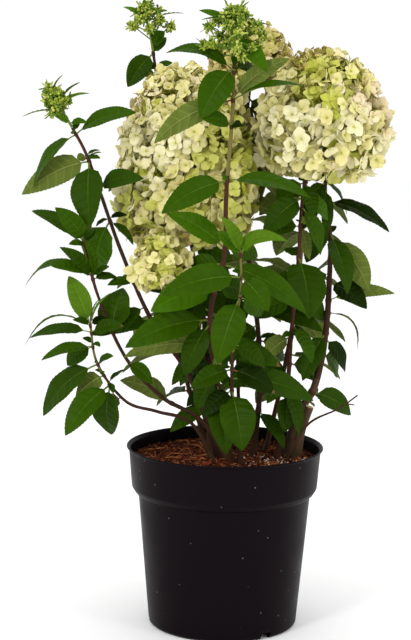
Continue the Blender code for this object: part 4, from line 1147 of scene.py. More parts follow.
def sheets(middle, normal, thickness, chart, upper_slots, lower_slots):
    """Closed thin sheets: each inner point of a middle surface is doubled half the thickness
    up and down the normal, and the rim is shared. middle is sheets x rows x columns x 3, and
    the slots are one for each sheet or for each of its faces."""
    count, rows, columns = middle.shape[:3]
    lift = 0.5 * thickness * normal[:, None, None, :]
    upper = middle.copy()
    upper[:, 1:-1, 1:-1] += lift
    lower = middle[:, 1:-1, 1:-1] - lift
    points = np.concatenate([upper.reshape(count, -1, 3), lower.reshape(count, -1, 3)], axis=1)
    places = np.concatenate([chart.reshape(-1, 2), chart[1:-1, 1:-1].reshape(-1, 2)])
    above, below = sheet_layout(rows, columns)
    slots = np.concatenate([
        np.broadcast_to(given.reshape(count, -1), (count, len(above)))
        for given in (upper_slots, lower_slots)
    ], axis=1)
    return copies(points, np.vstack([above, below]), slots.ravel(), places)


def tube_layout(rings, sides):
    """Faces of a tube with a point at the middle of each end; the rings come first."""
    grid = np.arange(rings * sides).reshape(rings, sides)
    on = np.roll(grid, -1, axis=1)
    walls = np.stack([grid[:-1], on[:-1], on[1:], grid[1:]], axis=-1).reshape(-1, 4)
    pole = np.full(sides, grid.size)
    blank = np.full(sides, -1)
    start = np.stack([pole, on[0], grid[0], blank], axis=-1)
    end = np.stack([pole + 1, grid[-1], on[-1], blank], axis=-1)
    return np.vstack([walls, start, end])


def tubes(paths, radii, first, sides, slots, relief=None, ways=None):
    """Closed tubes with round sections: each ring is its path's place plus the radius times
    the cosine and sine of the turn along two ways square to the path.

    paths is tubes x rings x 3, radii tubes x rings, and first the way of the zero turn for each
    tube or ring. relief adds to the radius at each ring and side. The slots are one for each
    tube or for each stretch between two of its rings.
    """
    count, rings = paths.shape[:2]
    way = unit(np.gradient(paths, axis=1)) if ways is None else ways.reshape(paths.shape)
    first = reject(np.broadcast_to(first.reshape(count, -1, 3), way.shape), way)[:, :, None]
    second = np.cross(way, first[:, :, 0])[:, :, None]
    turn = even_turns(sides)
    reach = np.repeat(radii[:, :, None], sides, axis=2)
    if relief is not None:
        reach = reach + relief
    around = first * np.cos(turn)[:, None] + second * np.sin(turn)[:, None]
    walls = paths[:, :, None, :] + around * reach[..., None]
    ends = np.stack([paths[:, 0], paths[:, -1]], axis=1)
    points = np.concatenate([walls.reshape(count, -1, 3), ends], axis=1)
    stretches = np.broadcast_to(slots.reshape(count, -1), (count, rings - 1))
    slots = np.repeat(np.concatenate([stretches, stretches[:, [0, -1]]], axis=1), sides)
    along = np.append(np.repeat(np.linspace(0.0, 1.0, rings), sides), [0.0, 1.0])
    over = np.append(np.tile(turn / (2.0 * math.pi), rings), [0.0, 0.0])
    return copies(points, tube_layout(rings, sides), slots, np.stack([along, over], axis=-1))


def blob_layout(rings, sides):
    """The unit directions and faces of a ball with so many rings between its two poles."""
    fall = math.pi * np.arange(1, rings + 1)[:, None, None] / (rings + 1)
    ring = bearings(even_turns(sides)) * np.sin(fall) - UP * np.cos(fall)
    return np.vstack([ring.reshape(-1, 3), -UP, UP]), tube_layout(rings, sides)


def blobs(centres, sizes, turns, slots, rings=3, sides=6, rough=0.0, seed=0):
    """Closed lumps: balls stretched by three sizes, roughened by noise and turned.

    sizes is lumps x 3 half widths and turns is lumps x 3 x 3 rotation matrices.
    """
    directions, layout = blob_layout(rings, sides)
    count = len(centres)
    shape = np.broadcast_to(directions, (count, len(directions), 3))
    if rough:
        spread = shape + 7.3 * np.arange(count)[:, None, None]
        shape = shape * (1.0 + rough * lattice_noise(spread, 0.9, seed))[..., None]
    points = np.einsum("nij,nkj->nki", turns, shape * sizes[:, None, :]) + centres[:, None, :]
    chart = np.stack([0.5 + 0.5 * directions[:, 2], np.zeros(len(directions))], axis=-1)
    return copies(points, layout, np.repeat(slots, len(layout)), chart)


def random_turns(draws, count):
    """Random rotation matrices: the orthogonal factor of matrices of normal draws."""
    turns, _ = np.linalg.qr(draws.normal(size=(count, 3, 3)))
    turns[:, :, 0] *= np.linalg.det(turns)[:, None]
    return turns


def frames_along(ways, draws):
    """Two ways square to each given way and to each other, the first at a random turn."""
    helper = unit(draws.normal(size=ways.shape))
    first = reject(helper, ways)
    return first, np.cross(ways, first)


def linear(code):
    """The linear colour of an sRGB hex value."""
    parts = [int(code[i:i + 2], 16) / 255.0 for i in (1, 3, 5)]
    return tuple(p / 12.92 if p <= 0.04045 else ((p + 0.055) / 1.055) ** 2.4 for p in parts)


def colour(label, use, code):
    """A colour that a user can change, from its sRGB hex value."""
    return FloatVectorProperty(name=label, description=use, default=linear(code), size=3,
                               min=0.0, max=1.0, subtype="COLOR")


def amount(label, use, default, unit="LENGTH"):
    """A size in metres, or an amount in another unit, that a user can change."""
    return FloatProperty(name=label, description=use, default=default, min=0.0, precision=5,
                         unit=unit)


class PotSettings(bpy.types.PropertyGroup):
    sides: IntProperty(name="Sides", description="Flat strips round the pot", default=144, min=24)
    rounding: amount("Rounding", "How far the wall's corners are rounded", 0.0011)
    plastic: colour("Plastic", "Black moulded plastic", "#0e080c")
    dust: colour("Dust", "Dry specks on the plastic", "#6a6260")
    mix_relief: amount("Mix relief", "How far the potting mix rises and falls", 0.0042)
    bark_brown: colour("Composted bark", "Most of the potting mix", "#522512")
    peat_brown: colour("Peat", "Dark crumbs and hollows of the mix", "#1f0e06")
    chip_red: colour("Bark chip", "Reddish chips on the mix", "#783a1e")
    chip_pale: colour("Coir shred", "Pale fibres and shreds on the mix", "#a86e42")
    perlite: colour("Perlite", "White grains in the mix", "#dedacd")


class StemSettings(bpy.types.PropertyGroup):
    ring_step: amount("Ring step", "Distance between the rings of a stem's surface", 0.0016)
    sides: IntProperty(name="Sides", description="Flat strips round a stem", default=14, min=6)
    relief: amount("Bark relief", "How far the bark's ridges rise", 0.00022)
    node_swelling: amount("Node swelling", "How far a stem swells where leaves grow", 0.0007)
    brown: colour("Brown bark", "Dark bark of older shoots", "#3a2413")
    red: colour("Reddish bark", "Bark of the right shoots", "#402212")
    grey: colour("Old bark", "Peeling grey-brown bark of the oldest cane", "#4a3726")
    olive: colour("Olive stem", "Stem of the front shoots", "#685e2d")
    green: colour("Green stem", "Young tips and stalks", "#66782a")
    wood: colour("Cut wood", "Sawn end of the stub", "#a8946a")


class LeafSettings(bpy.types.PropertyGroup):
    rows: IntProperty(
        name="Rows", description="Rows of faces along a leaf, four for each pair of veins",
        default=28, min=8,
    )
    thickness: amount("Thickness", "Thickness of a leaf blade", 0.0003)
    vein_depth: amount("Vein depth", "How far the side veins are sunk", 0.0007)
    tooth: amount("Tooth", "How far the teeth of the edge stand out", 0.0004)
    petiole: amount("Petiole", "Radius of a leaf's stalk", 0.00105)
    # The first four greens are one green in darker and lighter copies: the darker ones are painted
    # shade, the lighter ones partly the young leaves' own fresher green and partly painted light
    dark: colour("Dark leaf", "Leaves inside and at the back", "#142500")
    mature: colour("Mature leaf", "Most leaves", "#253e00")
    fresh: colour("Fresh leaf", "Leaves of the front shoots", "#2c4900")
    bright: colour("Bright leaf", "The youngest leaves low in front", "#355801")
    rosette: colour("Rosette leaf", "Yellowish leaves round the buds", "#4a6b10")
    underside: colour("Underside", "Pale dull lower side", "#5b692a")
    rib: colour("Rib", "Midribs on the lower side", "#78843c")
    stalk: colour("Red stalk", "Reddish leaf stalks", "#64401f")
    green_stalk: colour("Green stalk", "Green leaf stalks", "#5e7226")
    dry: colour("Dry spot", "Brown tips and spots", "#55431c")


class FlowerSettings(bpy.types.PropertyGroup):
    spacing: amount("Spacing", "Distance between the florets of a full-size head", 0.0128)
    sepal: amount("Sepal", "Length of a full-size sepal", 0.0110)
    thickness: amount("Thickness", "Thickness of a sepal", 0.00025)
    bud: amount("Bud", "Radius of a green bud", 0.0016)
    ivory: colour("Ivory", "Open white sepals", "#e8e1b6")
    cream: colour("Cream", "Most sepals", "#dfd696")
    lime: colour("Lime", "Young greenish sepals", "#c6c665")
    # Yellow green: partly the inner florets' own colour and partly painted shade deep in the heads
    moss: colour("Yellow green", "Sepals inside the heads", "#b9bd4c")
    blush: colour("Blush", "Sepals that turn pink", "#e9d9b6")
    tan: colour("Tan", "Small spent sepals", "#b8a267")
    straw: colour("Straw", "Sepals of the top head", "#cdc07c")
    heart: colour("Heart", "The green claw of a sepal", "#c3c552")
    bud_light: colour("Light bud", "Lime bud clusters", "#87982c")
    bud_dark: colour("Dark bud", "Green bud clusters", "#4f6c16")
    bud_pale: colour("Pale bud", "Pale tips of bud clusters", "#acb452")


class StudioSettings(bpy.types.PropertyGroup):
    floor: colour("Floor", "Pale studio floor", "#fafafa")
    key_power: amount("Key light", "Power of the large light on the left", 20.0, "POWER")
    fill_power: amount("Fill light", "Power of the light on the right", 7.0, "POWER")
    sky: amount("Sky", "Strength of the white surroundings", 1.04, "NONE")


SETTINGS = {
    "hydrangea_pot": PotSettings,
    "hydrangea_stems": StemSettings,
    "hydrangea_leaves": LeafSettings,
    "hydrangea_flowers": FlowerSettings,
    "hydrangea_studio": StudioSettings,
}


def add_node(tree, kind, inputs=None, **settings):
    """Adds a node with its settings, fills its inputs with values or links, and returns its
    outputs."""
    made = tree.nodes.new(kind)
    for name, value in settings.items():
        setattr(made, name, value)
    for socket, value in (inputs or {}).items():
        if isinstance(value, bpy.types.NodeSocket):
            tree.links.new(value, made.inputs[socket])
        else:
            made.inputs[socket].default_value = value
    return made.outputs


def new_material(name, roughness, specular=0.5):
    """A Principled material, its node tree and its shader."""
    made = bpy.data.materials.new(name)
    made.use_nodes = True
    shader = made.node_tree.nodes["Principled BSDF"]
    shader.inputs["Roughness"].default_value = roughness
    shader.inputs["Specular IOR Level"].default_value = specular
    return made, made.node_tree, shader


def tinted(shade, factor):
    """A colour made lighter or darker, with its alpha."""
    return (*[min(1.0, part * factor) for part in shade], 1.0)


def mottled_colour(tree, dark, light, grain, stretch=(1.0, 1.0, 1.0), detail=3.0):
    """Two colours blended by noise whose patches are about one grain, in metres, across."""
    place = add_node(tree, "ShaderNodeTexCoord")["Object"]
    scaled = add_node(tree, "ShaderNodeMapping", {0: place, "Scale": stretch})[0]
    noise = add_node(tree, "ShaderNodeTexNoise",
                     {"Vector": scaled, "Scale": 1.0 / grain, "Detail": detail})[0]
    blend = add_node(tree, "ShaderNodeMix", {0: noise, 6: dark, 7: light}, data_type="RGBA")
    return blend[2], noise


def add_bump(tree, shader, height, depth, strength=1.0):
    """Lets a pattern raise the surface by a depth in metres."""
    bump = add_node(tree, "ShaderNodeBump",
                    {"Height": height, "Distance": depth, "Strength": strength})
    tree.links.new(bump[0], shader.inputs["Normal"])


def blade_material(name, shade, roughness, veins):
    """Living leaf: a waxy skin that shines softly. Its pattern follows the leaf's own map, with
    a midrib along the middle, side veins along the rows and a paler line at the edge."""
    made, tree, shader = new_material(name, roughness, 0.04)
    chart = add_node(tree, "ShaderNodeUVMap", uv_map=MAP_NAME)[0]
    split = add_node(tree, "ShaderNodeSeparateXYZ", {0: chart})
    beat = add_node(tree, "ShaderNodeMath", {0: split[0], 1: VEIN_PAIRS}, operation="MULTIPLY")
    beat = add_node(tree, "ShaderNodeMath", {0: beat[0], 1: 0.5}, operation="PINGPONG")
    vein = add_node(tree, "ShaderNodeMapRange",
                    {0: beat[0], 1: 0.02, 2: VEIN_LINE, 3: veins, 4: 0.0})
    aside = add_node(tree, "ShaderNodeMath", {0: split[1], 1: 0.5}, operation="SUBTRACT")
    aside = add_node(tree, "ShaderNodeMath", {0: aside[0]}, operation="ABSOLUTE")[0]
    rib = add_node(tree, "ShaderNodeMapRange", {0: aside, 1: 0.010, 2: 0.028, 3: 0.36, 4: 0.0})
    edge = add_node(tree, "ShaderNodeMapRange", {0: aside, 1: 0.475, 2: 0.495, 3: 0.0, 4: 0.15})
    drawn = add_node(tree, "ShaderNodeMath", {0: vein[0], 1: rib[0]}, operation="MAXIMUM")[0]
    shown = add_node(tree, "ShaderNodeMath", {0: drawn, 1: edge[0]}, operation="MAXIMUM")[0]
    skin, _ = mottled_colour(tree, tinted(shade, 0.78), tinted(shade, 1.22), LEAF_MOTTLE)
    base = add_node(tree, "ShaderNodeMix", {0: shown, 6: skin, 7: tinted(shade, 2.4)},
                    data_type="RGBA")
    tree.links.new(base[2], shader.inputs["Base Color"])
    net = add_node(tree, "ShaderNodeTexVoronoi",
                   {"Vector": add_node(tree, "ShaderNodeTexCoord")["Object"],
                    "Scale": 1.0 / LEAF_NET}, feature="DISTANCE_TO_EDGE")[0]
    sunk = add_node(tree, "ShaderNodeMath", {0: net, 1: drawn}, operation="SUBTRACT")[0]
    add_bump(tree, shader, sunk, 0.00018, 0.6)
    return made


def sepal_material(name, shade, heart):
    """Papery sepal: dull and thin, greener at its claw, with faint veins that run its length."""
    made, tree, shader = new_material(name, 0.62, 0.15)
    chart = add_node(tree, "ShaderNodeUVMap", uv_map=MAP_NAME)[0]
    split = add_node(tree, "ShaderNodeSeparateXYZ", {0: chart})
    claw = add_node(tree, "ShaderNodeMapRange", {0: split[0], 1: 0.0, 2: 0.45, 3: 0.55, 4: 0.0})
    veins = add_node(tree, "ShaderNodeMath", {0: split[1], 1: 4.0}, operation="MULTIPLY")[0]
    veins = add_node(tree, "ShaderNodeMath", {0: veins, 1: 0.5}, operation="PINGPONG")[0]
    line = add_node(tree, "ShaderNodeMapRange", {0: veins, 1: 0.0, 2: 0.16, 3: 0.30, 4: 0.0})
    both = add_node(tree, "ShaderNodeMath", {0: claw[0], 1: line[0]}, operation="MAXIMUM")[0]
    skin, _ = mottled_colour(tree, tinted(shade, 0.88), tinted(shade, 1.06), SEPAL_MOTTLE)
    base = add_node(tree, "ShaderNodeMix", {0: both, 6: skin, 7: (*heart, 1.0)}, data_type="RGBA")
    tree.links.new(base[2], shader.inputs["Base Color"])
    add_bump(tree, shader, veins, 0.0002, 0.4)
    return made


def bark_material(name, shade, roughness, grain, contrast):
    """Shrub bark: dull and lightly ridged, its streaks drawn out along the stem."""
    made, tree, shader = new_material(name, roughness, 0.2)
    skin, noise = mottled_colour(tree, tinted(shade, 1.0 - contrast), tinted(shade, 1.0 + contrast),
                                 grain, (1.0, 1.0, BARK_STRETCH), 5.0)
    tree.links.new(skin, shader.inputs["Base Color"])
    add_bump(tree, shader, noise, 0.0003, 0.7)
    return made


def grain_material(name, dark, light, roughness, grain):
    """Crumbly matter: flat colour that changes from grain to grain, with a rough skin."""
    made, tree, shader = new_material(name, roughness, 0.1)
    skin, noise = mottled_colour(tree, (*dark, 1.0), (*light, 1.0), grain, detail=4.0)
    tree.links.new(skin, shader.inputs["Base Color"])
    add_bump(tree, shader, noise, 0.0008, 0.8)
    return made


def plastic_material(name, shade, dust):
    """Moulded black polypropylene: a satin skin with a fine orange peel and dry dust specks."""
    made, tree, shader = new_material(name, 0.36, 0.04)
    place = add_node(tree, "ShaderNodeTexCoord")["Object"]
    speck = add_node(tree, "ShaderNodeTexVoronoi",
                     {"Vector": place, "Scale": 1.0 / DUST_SPACING})["Distance"]
    patch = add_node(tree, "ShaderNodeTexNoise",
                     {"Vector": place, "Scale": 1.0 / DUST_PATCH, "Detail": 2.0})[0]
    shown = add_node(tree, "ShaderNodeMapRange",
                     {0: speck, 1: 0.035, 2: 0.075, 3: 0.8, 4: 0.0})[0]
    base = add_node(tree, "ShaderNodeMix", {0: shown, 6: (*shade, 1.0), 7: (*dust, 1.0)},
                    data_type="RGBA")
    tree.links.new(base[2], shader.inputs["Base Color"])
    dull = add_node(tree, "ShaderNodeMapRange",
                    {0: patch, 1: 0.3, 2: 0.7, 3: 0.34, 4: 0.46})[0]
    tree.links.new(dull, shader.inputs["Roughness"])
    peel = add_node(tree, "ShaderNodeTexNoise",
                    {"Vector": place, "Scale": 1.0 / PEEL_GRAIN, "Detail": 1.0})[0]
    add_bump(tree, shader, peel, 0.00012, 0.35)
    return made


def bent(start, corner, end, steps):
    """The curve that leaves the first place towards the second and comes to the third."""
    share = np.linspace(0.0, 1.0, steps)[:, None]
    return (1 - share)**2 * start + 2 * share * (1 - share) * corner + share**2 * end


def curved_line(points, radius, steps):
    """The (radius, height) line with each corner rounded: a curve bent towards the corner,
    which leaves one side and meets the other the same distance away."""
    line = np.array(points)
    rounded = [line[:1]]
    for before, corner, after in zip(line, line[1:], line[2:]):
        reach = min(radius, *(0.45 * np.linalg.norm(end - corner) for end in (before, after)))
        start = corner + unit(before - corner) * reach
        rounded.append(bent(start, corner, corner + unit(after - corner) * reach, steps))
    return np.vstack(rounded + [line[-1:]])


def spaced(line, step):
    """A line with places added so that no two of them lie further apart than a step."""
    parts = [np.linspace(a, b, math.ceil(np.linalg.norm(b - a) / step), endpoint=False)
             for a, b in zip(line, line[1:])]
    return np.vstack(parts + [line[-1:]])


def shell_line(settings):
    """The pot's line: that of its solid, with a foot ring under a raised floor."""
    line = ((0.0, RECESS), (BASE_RADIUS - FOOT_WIDTH, RECESS), (BASE_RADIUS - FOOT_WIDTH, 0.0))
    line += pot_profile()[1:-2]
    line += ((BASE_RADIUS - WALL, RECESS + FLOOR), (0.0, RECESS + FLOOR))
    return spaced(curved_line(line, settings.rounding, 5), POT_STEP)


def lathe(line, sides):
    """A closed surface turned about the Z axis from a (radius, height) line, pole to pole."""
    line = np.array(line)
    walls = line[1:-1, :1, None] * bearings(even_turns(sides)) + line[1:-1, 1:, None] * UP
    points = np.vstack([walls.reshape(-1, 3), line[[0, -1], 1:] * UP])
    return plain_surface(points, tube_layout(len(line) - 2, sides))


def turned(line, sides):
    """The plain shape of a turned solid."""
    return plain(lathe(line, sides))


def drain_cutters():
    """Boxes across the base's edge and rods through its floor, which cut the pot's openings."""
    deep, wide, high = np.array(list(itertools.product((-1.0, 1.0), (-0.5, 0.5), (0.0, 1.0)))).T
    notches = np.radians(NOTCH_ANGLES)
    cutters = []
    for outward, across in zip(bearings(notches), bearings(notches + 0.5 * math.pi)):
        points = np.outer(BASE_RADIUS + deep * NOTCH_DEPTH, outward)
        points += np.outer(wide * NOTCH_WIDTH, across)
        points += np.outer(high * (NOTCH_HEIGHT + CUT_THROUGH) - CUT_THROUGH, UP)
        cutters.append(plain_surface(points, np.array(BOX_FACES)))
    holes = bearings(notches[0] + even_turns(DRAIN_HOLES) + math.pi / DRAIN_HOLES)
    holes *= DRAIN_RING_RADIUS
    paths = np.stack([holes - UP * CUT_THROUGH, holes + UP * (FLOOR + CUT_THROUGH)], axis=1)
    cutters.append(tubes(paths, np.full((DRAIN_HOLES, 2), DRAIN_RADIUS),
                         np.tile([1.0, 0.0, 0.0], (DRAIN_HOLES, 1)), DRAIN_SIDES,
                         np.zeros(DRAIN_HOLES, int)))
    points, faces = plain(joined(cutters))
    return linked("drain_cutters", from_lists("drain_cutters", points.tolist(), faces))


def cut_away(piece, cutter):
    """Takes a cutter's space out of a piece's mesh, and removes the cutter."""
    cut = piece.modifiers.new("cut", "BOOLEAN")
    cut.object = cutter
    cut.operation = "DIFFERENCE"
    cut.solver = "EXACT"
    bpy.context.view_layer.update()
    graph = bpy.context.evaluated_depsgraph_get()
    made = bpy.data.meshes.new_from_object(piece.evaluated_get(graph))
    piece.modifiers.clear()
    piece.data = made
    bpy.data.objects.remove(cutter, do_unlink=True)


def mix_body(settings):
    """The filling: its turned side, and a top whose rings are raised and lowered by noise of
    three grain sizes, fading out at the wall."""
    side = np.array(mix_profile())
    side[:2, 1] += RECESS
    edge = side[-2]
    rings = np.linspace(edge[0], MIX_STEP, int(edge[0] / MIX_STEP))
    top = np.stack([rings, np.full(len(rings), edge[1])], axis=-1)
    surface = lathe(np.vstack([side[:-2], top, side[-1:]]), settings.sides)
    points = surface.points
    level = np.isclose(points[:, 2], edge[1])
    noise = sum(share * lattice_noise(points, width, seed) for share, width, seed in MIX_NOISE)
    fade = np.clip((edge[0] - np.linalg.norm(points[:, :2], axis=1)) / MIX_LUMPS, 0.0, 1.0)
    points[:, 2] += np.where(level, settings.mix_relief * noise * (0.35 + 0.65 * fade), 0.0)
    return surface


def mix_crumbs(settings, draws):
    """Bark chips, crumbs, fibres and white grains strewn over the filling: the root of an even
    draw gives each its distance from the middle, so they lie evenly."""
    edge = mix_profile()[-2]
    reach = edge[0] - CRUMB_MARGIN
    count = sum(CRUMB_COUNTS)
    kinds = np.repeat(np.arange(len(CRUMB_COUNTS)), CRUMB_COUNTS)
    far = np.sqrt(draws.random(count)) * reach
    flat = bearings(draws.uniform(0.0, 2.0 * math.pi, count))[:, :2] * far[:, None]
    spot = draws.normal(0.0, PERLITE_SPREAD, (count, 2)) + np.array(PERLITE_PATCH)
    spot *= np.minimum(1.0, reach / np.linalg.norm(spot, axis=1))[:, None]
    flat = np.where((kinds == PERLITE_KIND)[:, None], spot, flat)
    high = edge[1] + draws.uniform(*CRUMB_LEVELS, count) * settings.mix_relief
    halves = np.array(CRUMB_HALVES)[kinds] * MM * draws.uniform(*CRUMB_SIZES, (count, 1))
    halves = halves * draws.uniform(*CRUMB_SHAPES, (count, 3))
    lumps = blobs(np.column_stack([flat, high]), halves, random_turns(draws, count), kinds,
                  2, 5, 0.5, 4)
    return joined([lumps, mix_fibres(draws, edge)])


def mix_fibres(draws, edge):
    """Thin shreds that lie on the filling: each path bows up and sideways by a parabola."""
    far = np.sqrt(draws.random(FIBRES)) * (edge[0] - 2.0 * CRUMB_MARGIN)
    centres = bearings(draws.uniform(0.0, 2.0 * math.pi, FIBRES)) * far[:, None] + UP * edge[1]
    way = bearings(draws.uniform(0.0, 2.0 * math.pi, FIBRES))
    way[:, 2] = draws.normal(0.0, 0.18, FIBRES)
    side = np.cross(way, UP)
    length = draws.uniform(*FIBRE_LENGTH, FIBRES)[:, None, None]
    share = np.linspace(-0.5, 0.5, 5)[None, :, None]
    bend = draws.normal(0.0, 0.5, FIBRES)[:, None, None]
    paths = centres[:, None] + length * (way[:, None] * share + side[:, None] * bend * share**2)
    fall = 0.006 * np.abs(draws.normal(0.0, 0.4, FIBRES))[:, None, None] * share**2
    paths = paths + UP * (FIBRE_LIFT - fall)
    radii = draws.uniform(*FIBRE_RADIUS, FIBRES)[:, None] * np.array([0.5, 1.0, 1.1, 0.9, 0.4])
    return tubes(paths, radii, np.tile(UP, (FIBRES, 1)), 3, draws.choice(FIBRE_KINDS, FIBRES))


def stem_surface(curve, radii, settings, seed, bark, heights=()):
    """A stem from its curve: rings whose radius swells by a bell curve at each leaf node, where
    green skin is red, with noise drawn out along the stem for the ridges of its bark.

    radii is a function of the distance along the curve. bark is the lower and upper slot and
    the share of the length where one gives way to the other.
    """
    whole = distances(curve)[-1]
    where = np.linspace(0.0, whole, max(4, round(whole / settings.ring_step)))
    near = np.zeros(len(where))
    for height in heights:
        node = distance_at_height(curve, height)
        near = np.maximum(near, np.exp(-((where - node) / NODE_LENGTH) ** 2))
    radius = radii(where) + settings.node_swelling * near
    chart = bearings(even_turns(settings.sides)) * RIDGES
    chart = chart + UP * (where / RIDGE_LENGTH)[:, None, None]
    share = np.minimum(1.0, radius / FULL_RELIEF_RADIUS)[:, None]
    rough = lattice_noise(chart, 1.0, seed) + 0.5 * lattice_noise(chart, 0.4, seed + 1)
    low, high, change = bark
    kinds = np.where(0.5 * (where[1:] + where[:-1]) / whole < change, low, high)
    kinds = np.where((near[1:] > RED_NODE) & (kinds != BROWN), RED, kinds)
    return tubes(at_distance(curve, where)[None], radius[None], np.array([[0.0, 1.0, 0.0]]),
                 settings.sides, kinds, (settings.relief * share * rough)[None])


def shoot_surface(shoot, settings, seed):
    """A shoot's whole stem, bark below and greener skin towards its tip."""
    curve = ground_curve(shoot.route, FINE_SPAN_STEPS)
    heights = [node[0] * MM for node in shoot.nodes]
    return stem_surface(curve, lambda where: taper(shoot, curve, where), settings, seed,
                        BARK[shoot.name], heights)


def even_stem(curve, start, end, settings, slot, seed):
    """A stem in one bark whose radius goes evenly from its start's to its end's."""
    whole = distances(curve)[-1]
    return stem_surface(curve, lambda where: start + (end - start) * where / whole, settings,
                        seed, (slot, slot, 1.0))


def axil_nodes(shoot, chance):
    """Pairs of small leaves, one opposite the other, in the axils of a shoot's nodes."""
    nodes = []
    for height, *_ in shoot.nodes:
        angle = chance.uniform(0.0, math.pi)
        length = chance.uniform(*AXIL_LENGTH)
        rise = chance.uniform(*AXIL_RISE) * length
        width = AXIL_WIDTH * length
        right, back = length * math.cos(angle), length * math.sin(angle)
        turn = chance.uniform(0.0, 60.0)
        nodes.append((height + AXIL_LIFT, (right, back, rise, width, turn),
                      (-right, -back, rise, width, turn)))
    return nodes


@functools.cache
def full_plant():
    """All the leaves and the space they take: first those of the shoots, then those of finer
    twigs and axils that still find room."""
    leaves, space = grown_plant()
    chance = random.Random(SEED + 1)
    leaves = list(leaves)
    for number, leaf in enumerate(leaves):
        if (leaf.owner, leaf.number) in LEAF_CHANGES:
            turn, width = LEAF_CHANGES[leaf.owner, leaf.number]
            leaves[number] = leaf._replace(turn=turn, width=width * MM)
    for shoot in SHOOTS:
        curve = ground_curve(shoot.route)
        nodes = (*FINE_NODES.get(shoot.name, ()), *axil_nodes(shoot, chance))
        leaves += leaves_on(nodes, curve, shoot.name, space, chance)
    return leaves, space


def leaf_tones(leaves, draws):
    """A tone for each leaf: a darker copy of the green as painted shade on leaves behind and low
    down in the shade, lighter copies in front that are partly the fresher green of young leaves and
    partly painted light, yellowish in the rosettes and the bud panicles, with a little chance."""
    tones = []
    for owner, _, root, reach, *_ in leaves:
        tone = 1.0
        # Painted shade: the darkest green for low leaves at the back
        if root[2] < HIGH_LEAF and (root[1] > BACK_HALF or "rear" in owner):
            tone = 0.2
        # Lighter greens in front: partly the young leaves' own green and partly painted light
        if owner in FRESH_AND_LIT_SHOOTS:
            tone = 1.7
        if owner == "front_low" or (owner == "front" and root[2] < FRESH_AND_LIT_HEIGHT):
            tone = 2.2
        # Painted shade: a darker green for the front's low leaves
        if owner in ("front", "front_low") and root[2] < SHADY_HEIGHT:
            tone = 1.0
        if owner in ROSETTE_SHOOTS and reach[2] > ROSETTE_RISE:
            tone = 4.2
        tones.append(3.2 if "panicle" in owner else tone)
    chance = draws.normal(0.0, TONE_SPREAD, len(leaves))
    return np.clip(np.round(np.array(tones) + chance), 0, 4).astype(int)


def leaf_arrays(leaves):
    """The leaves' roots, reaches, half widths, arches and own ways as whole arrays. The high
    leaves at the back face the viewer too."""
    faces = [
        VIEWER if leaf.root[1] > BACK_HALF and leaf.root[2] > HIGH_LEAF else leaf.face
        for leaf in leaves
    ]
    ways = np.array([leaf_axes(leaf.reach, leaf.turn, face) for leaf, face in zip(leaves, faces)])
    axis, normal, across = ways[:, 0], ways[:, 1], ways[:, 2]
    return (
        np.array([leaf.root for leaf in leaves]),
        np.array([leaf.reach for leaf in leaves]),
        np.array([0.5 * leaf.width for leaf in leaves]),
        reject(LEAF_BOW[0] * normal + LEAF_BOW[1] * UP, axis)
        * np.array([leaf.rise for leaf in leaves])[:, None],
        normal,
        across,
    )


def blade_outline(share):
    """Half the blade's width along it, as a share of its widest: the share to one power times
    the rest to another, drawn in near the end by a high power to a short point."""
    rise, fall = BLADE_SHAPE
    peak = rise / (rise + fall)
    full = share**rise * (1.0 - share)**fall / (peak**rise * (1.0 - peak)**fall)
    return full * (1.0 - BLADE_DRAW[0] * share**BLADE_DRAW[1])


def blade_surfaces(leaves, settings, draws):
    """The blades of leaves. Each row of the grid slants forward from the midrib as a side vein
    does. The blade folds up from its midrib, arches along its length by a parabola, waves at
    its edge and sinks along its veins, which lie on every fourth row. A few tips are dry."""
    root, reach, half, bow, normal, across = leaf_arrays(leaves)
    row = np.linspace(0.0, 1.0, settings.rows + 1)[:, None]
    column = LEAF_COLUMNS[None, :]
    side = np.abs(column)
    slant = VEIN_SLANT * (1.0 - row) * (1.0 - np.exp(-row / VEIN_START))
    along = row + slant * side**1.15
    outline = blade_outline(along)
    tooth = np.where(np.arange(settings.rows + 1)[:, None] % 2 == 1, 1.0, -0.4)
    tooth = tooth * settings.tooth * (side == 1.0) * (outline > SMOOTH_ENDS)
    share = BLADE_START + (1.0 - BLADE_START) * along
    middle = (root[:, None, None] + reach[:, None, None] * share[..., None]
              + bow[:, None, None] * (4.0 * share * (1.0 - share))[..., None])
    breadth = half[:, None, None] * outline + BLADE_EDGE
    sideways = column * breadth + np.sign(column) * tooth
    phase = draws.random((len(leaves), 1, 1))
    beat = draws.uniform(*WAVE_BEATS, (len(leaves), 1, 1))
    wave = LEAF_WAVE * breadth * side**2 * np.sin(2.0 * math.pi * (beat * along + phase) + column)
    quilt = settings.vein_depth * (4.0 * side * (1.0 - side)) ** 0.7
    quilt = quilt * -np.cos(2.0 * math.pi * VEIN_PAIRS * row) * outline
    groove = -MIDRIB_DEPTH * np.exp(-((column / MIDRIB_HALF) ** 2)) * outline
    fold = FOLD_CURVE[0] * side - FOLD_CURVE[1] * side**2
    lift = LEAF_FOLD * breadth * fold + wave + quilt + groove
    twist = draws.normal(0.0, LEAF_TWIST, (len(leaves), 1, 1)) * (along - TWIST_MIDDLE)
    over = sideways * np.cos(twist) - lift * np.sin(twist)
    rise = sideways * np.sin(twist) + lift * np.cos(twist)
    surface = (middle + across[:, None, None] * over[..., None]
               + normal[:, None, None] * rise[..., None])
    chart = np.stack(np.broadcast_arrays(row, 0.5 + 0.5 * column), axis=-1)
    cells = (len(leaves), settings.rows, len(LEAF_COLUMNS) - 1)
    tones = np.broadcast_to(leaf_tones(leaves, draws)[:, None, None], cells).copy()
    under = np.full(cells, UNDERSIDE_SLOT)
    dry = draws.random(len(leaves)) < DRY_TIPS
    tones[dry, -DRY_ROWS:] = DRY_SLOT
    under[dry, -DRY_ROWS:] = DRY_SLOT
    return sheets(surface, normal, settings.thickness, chart, tones, under)


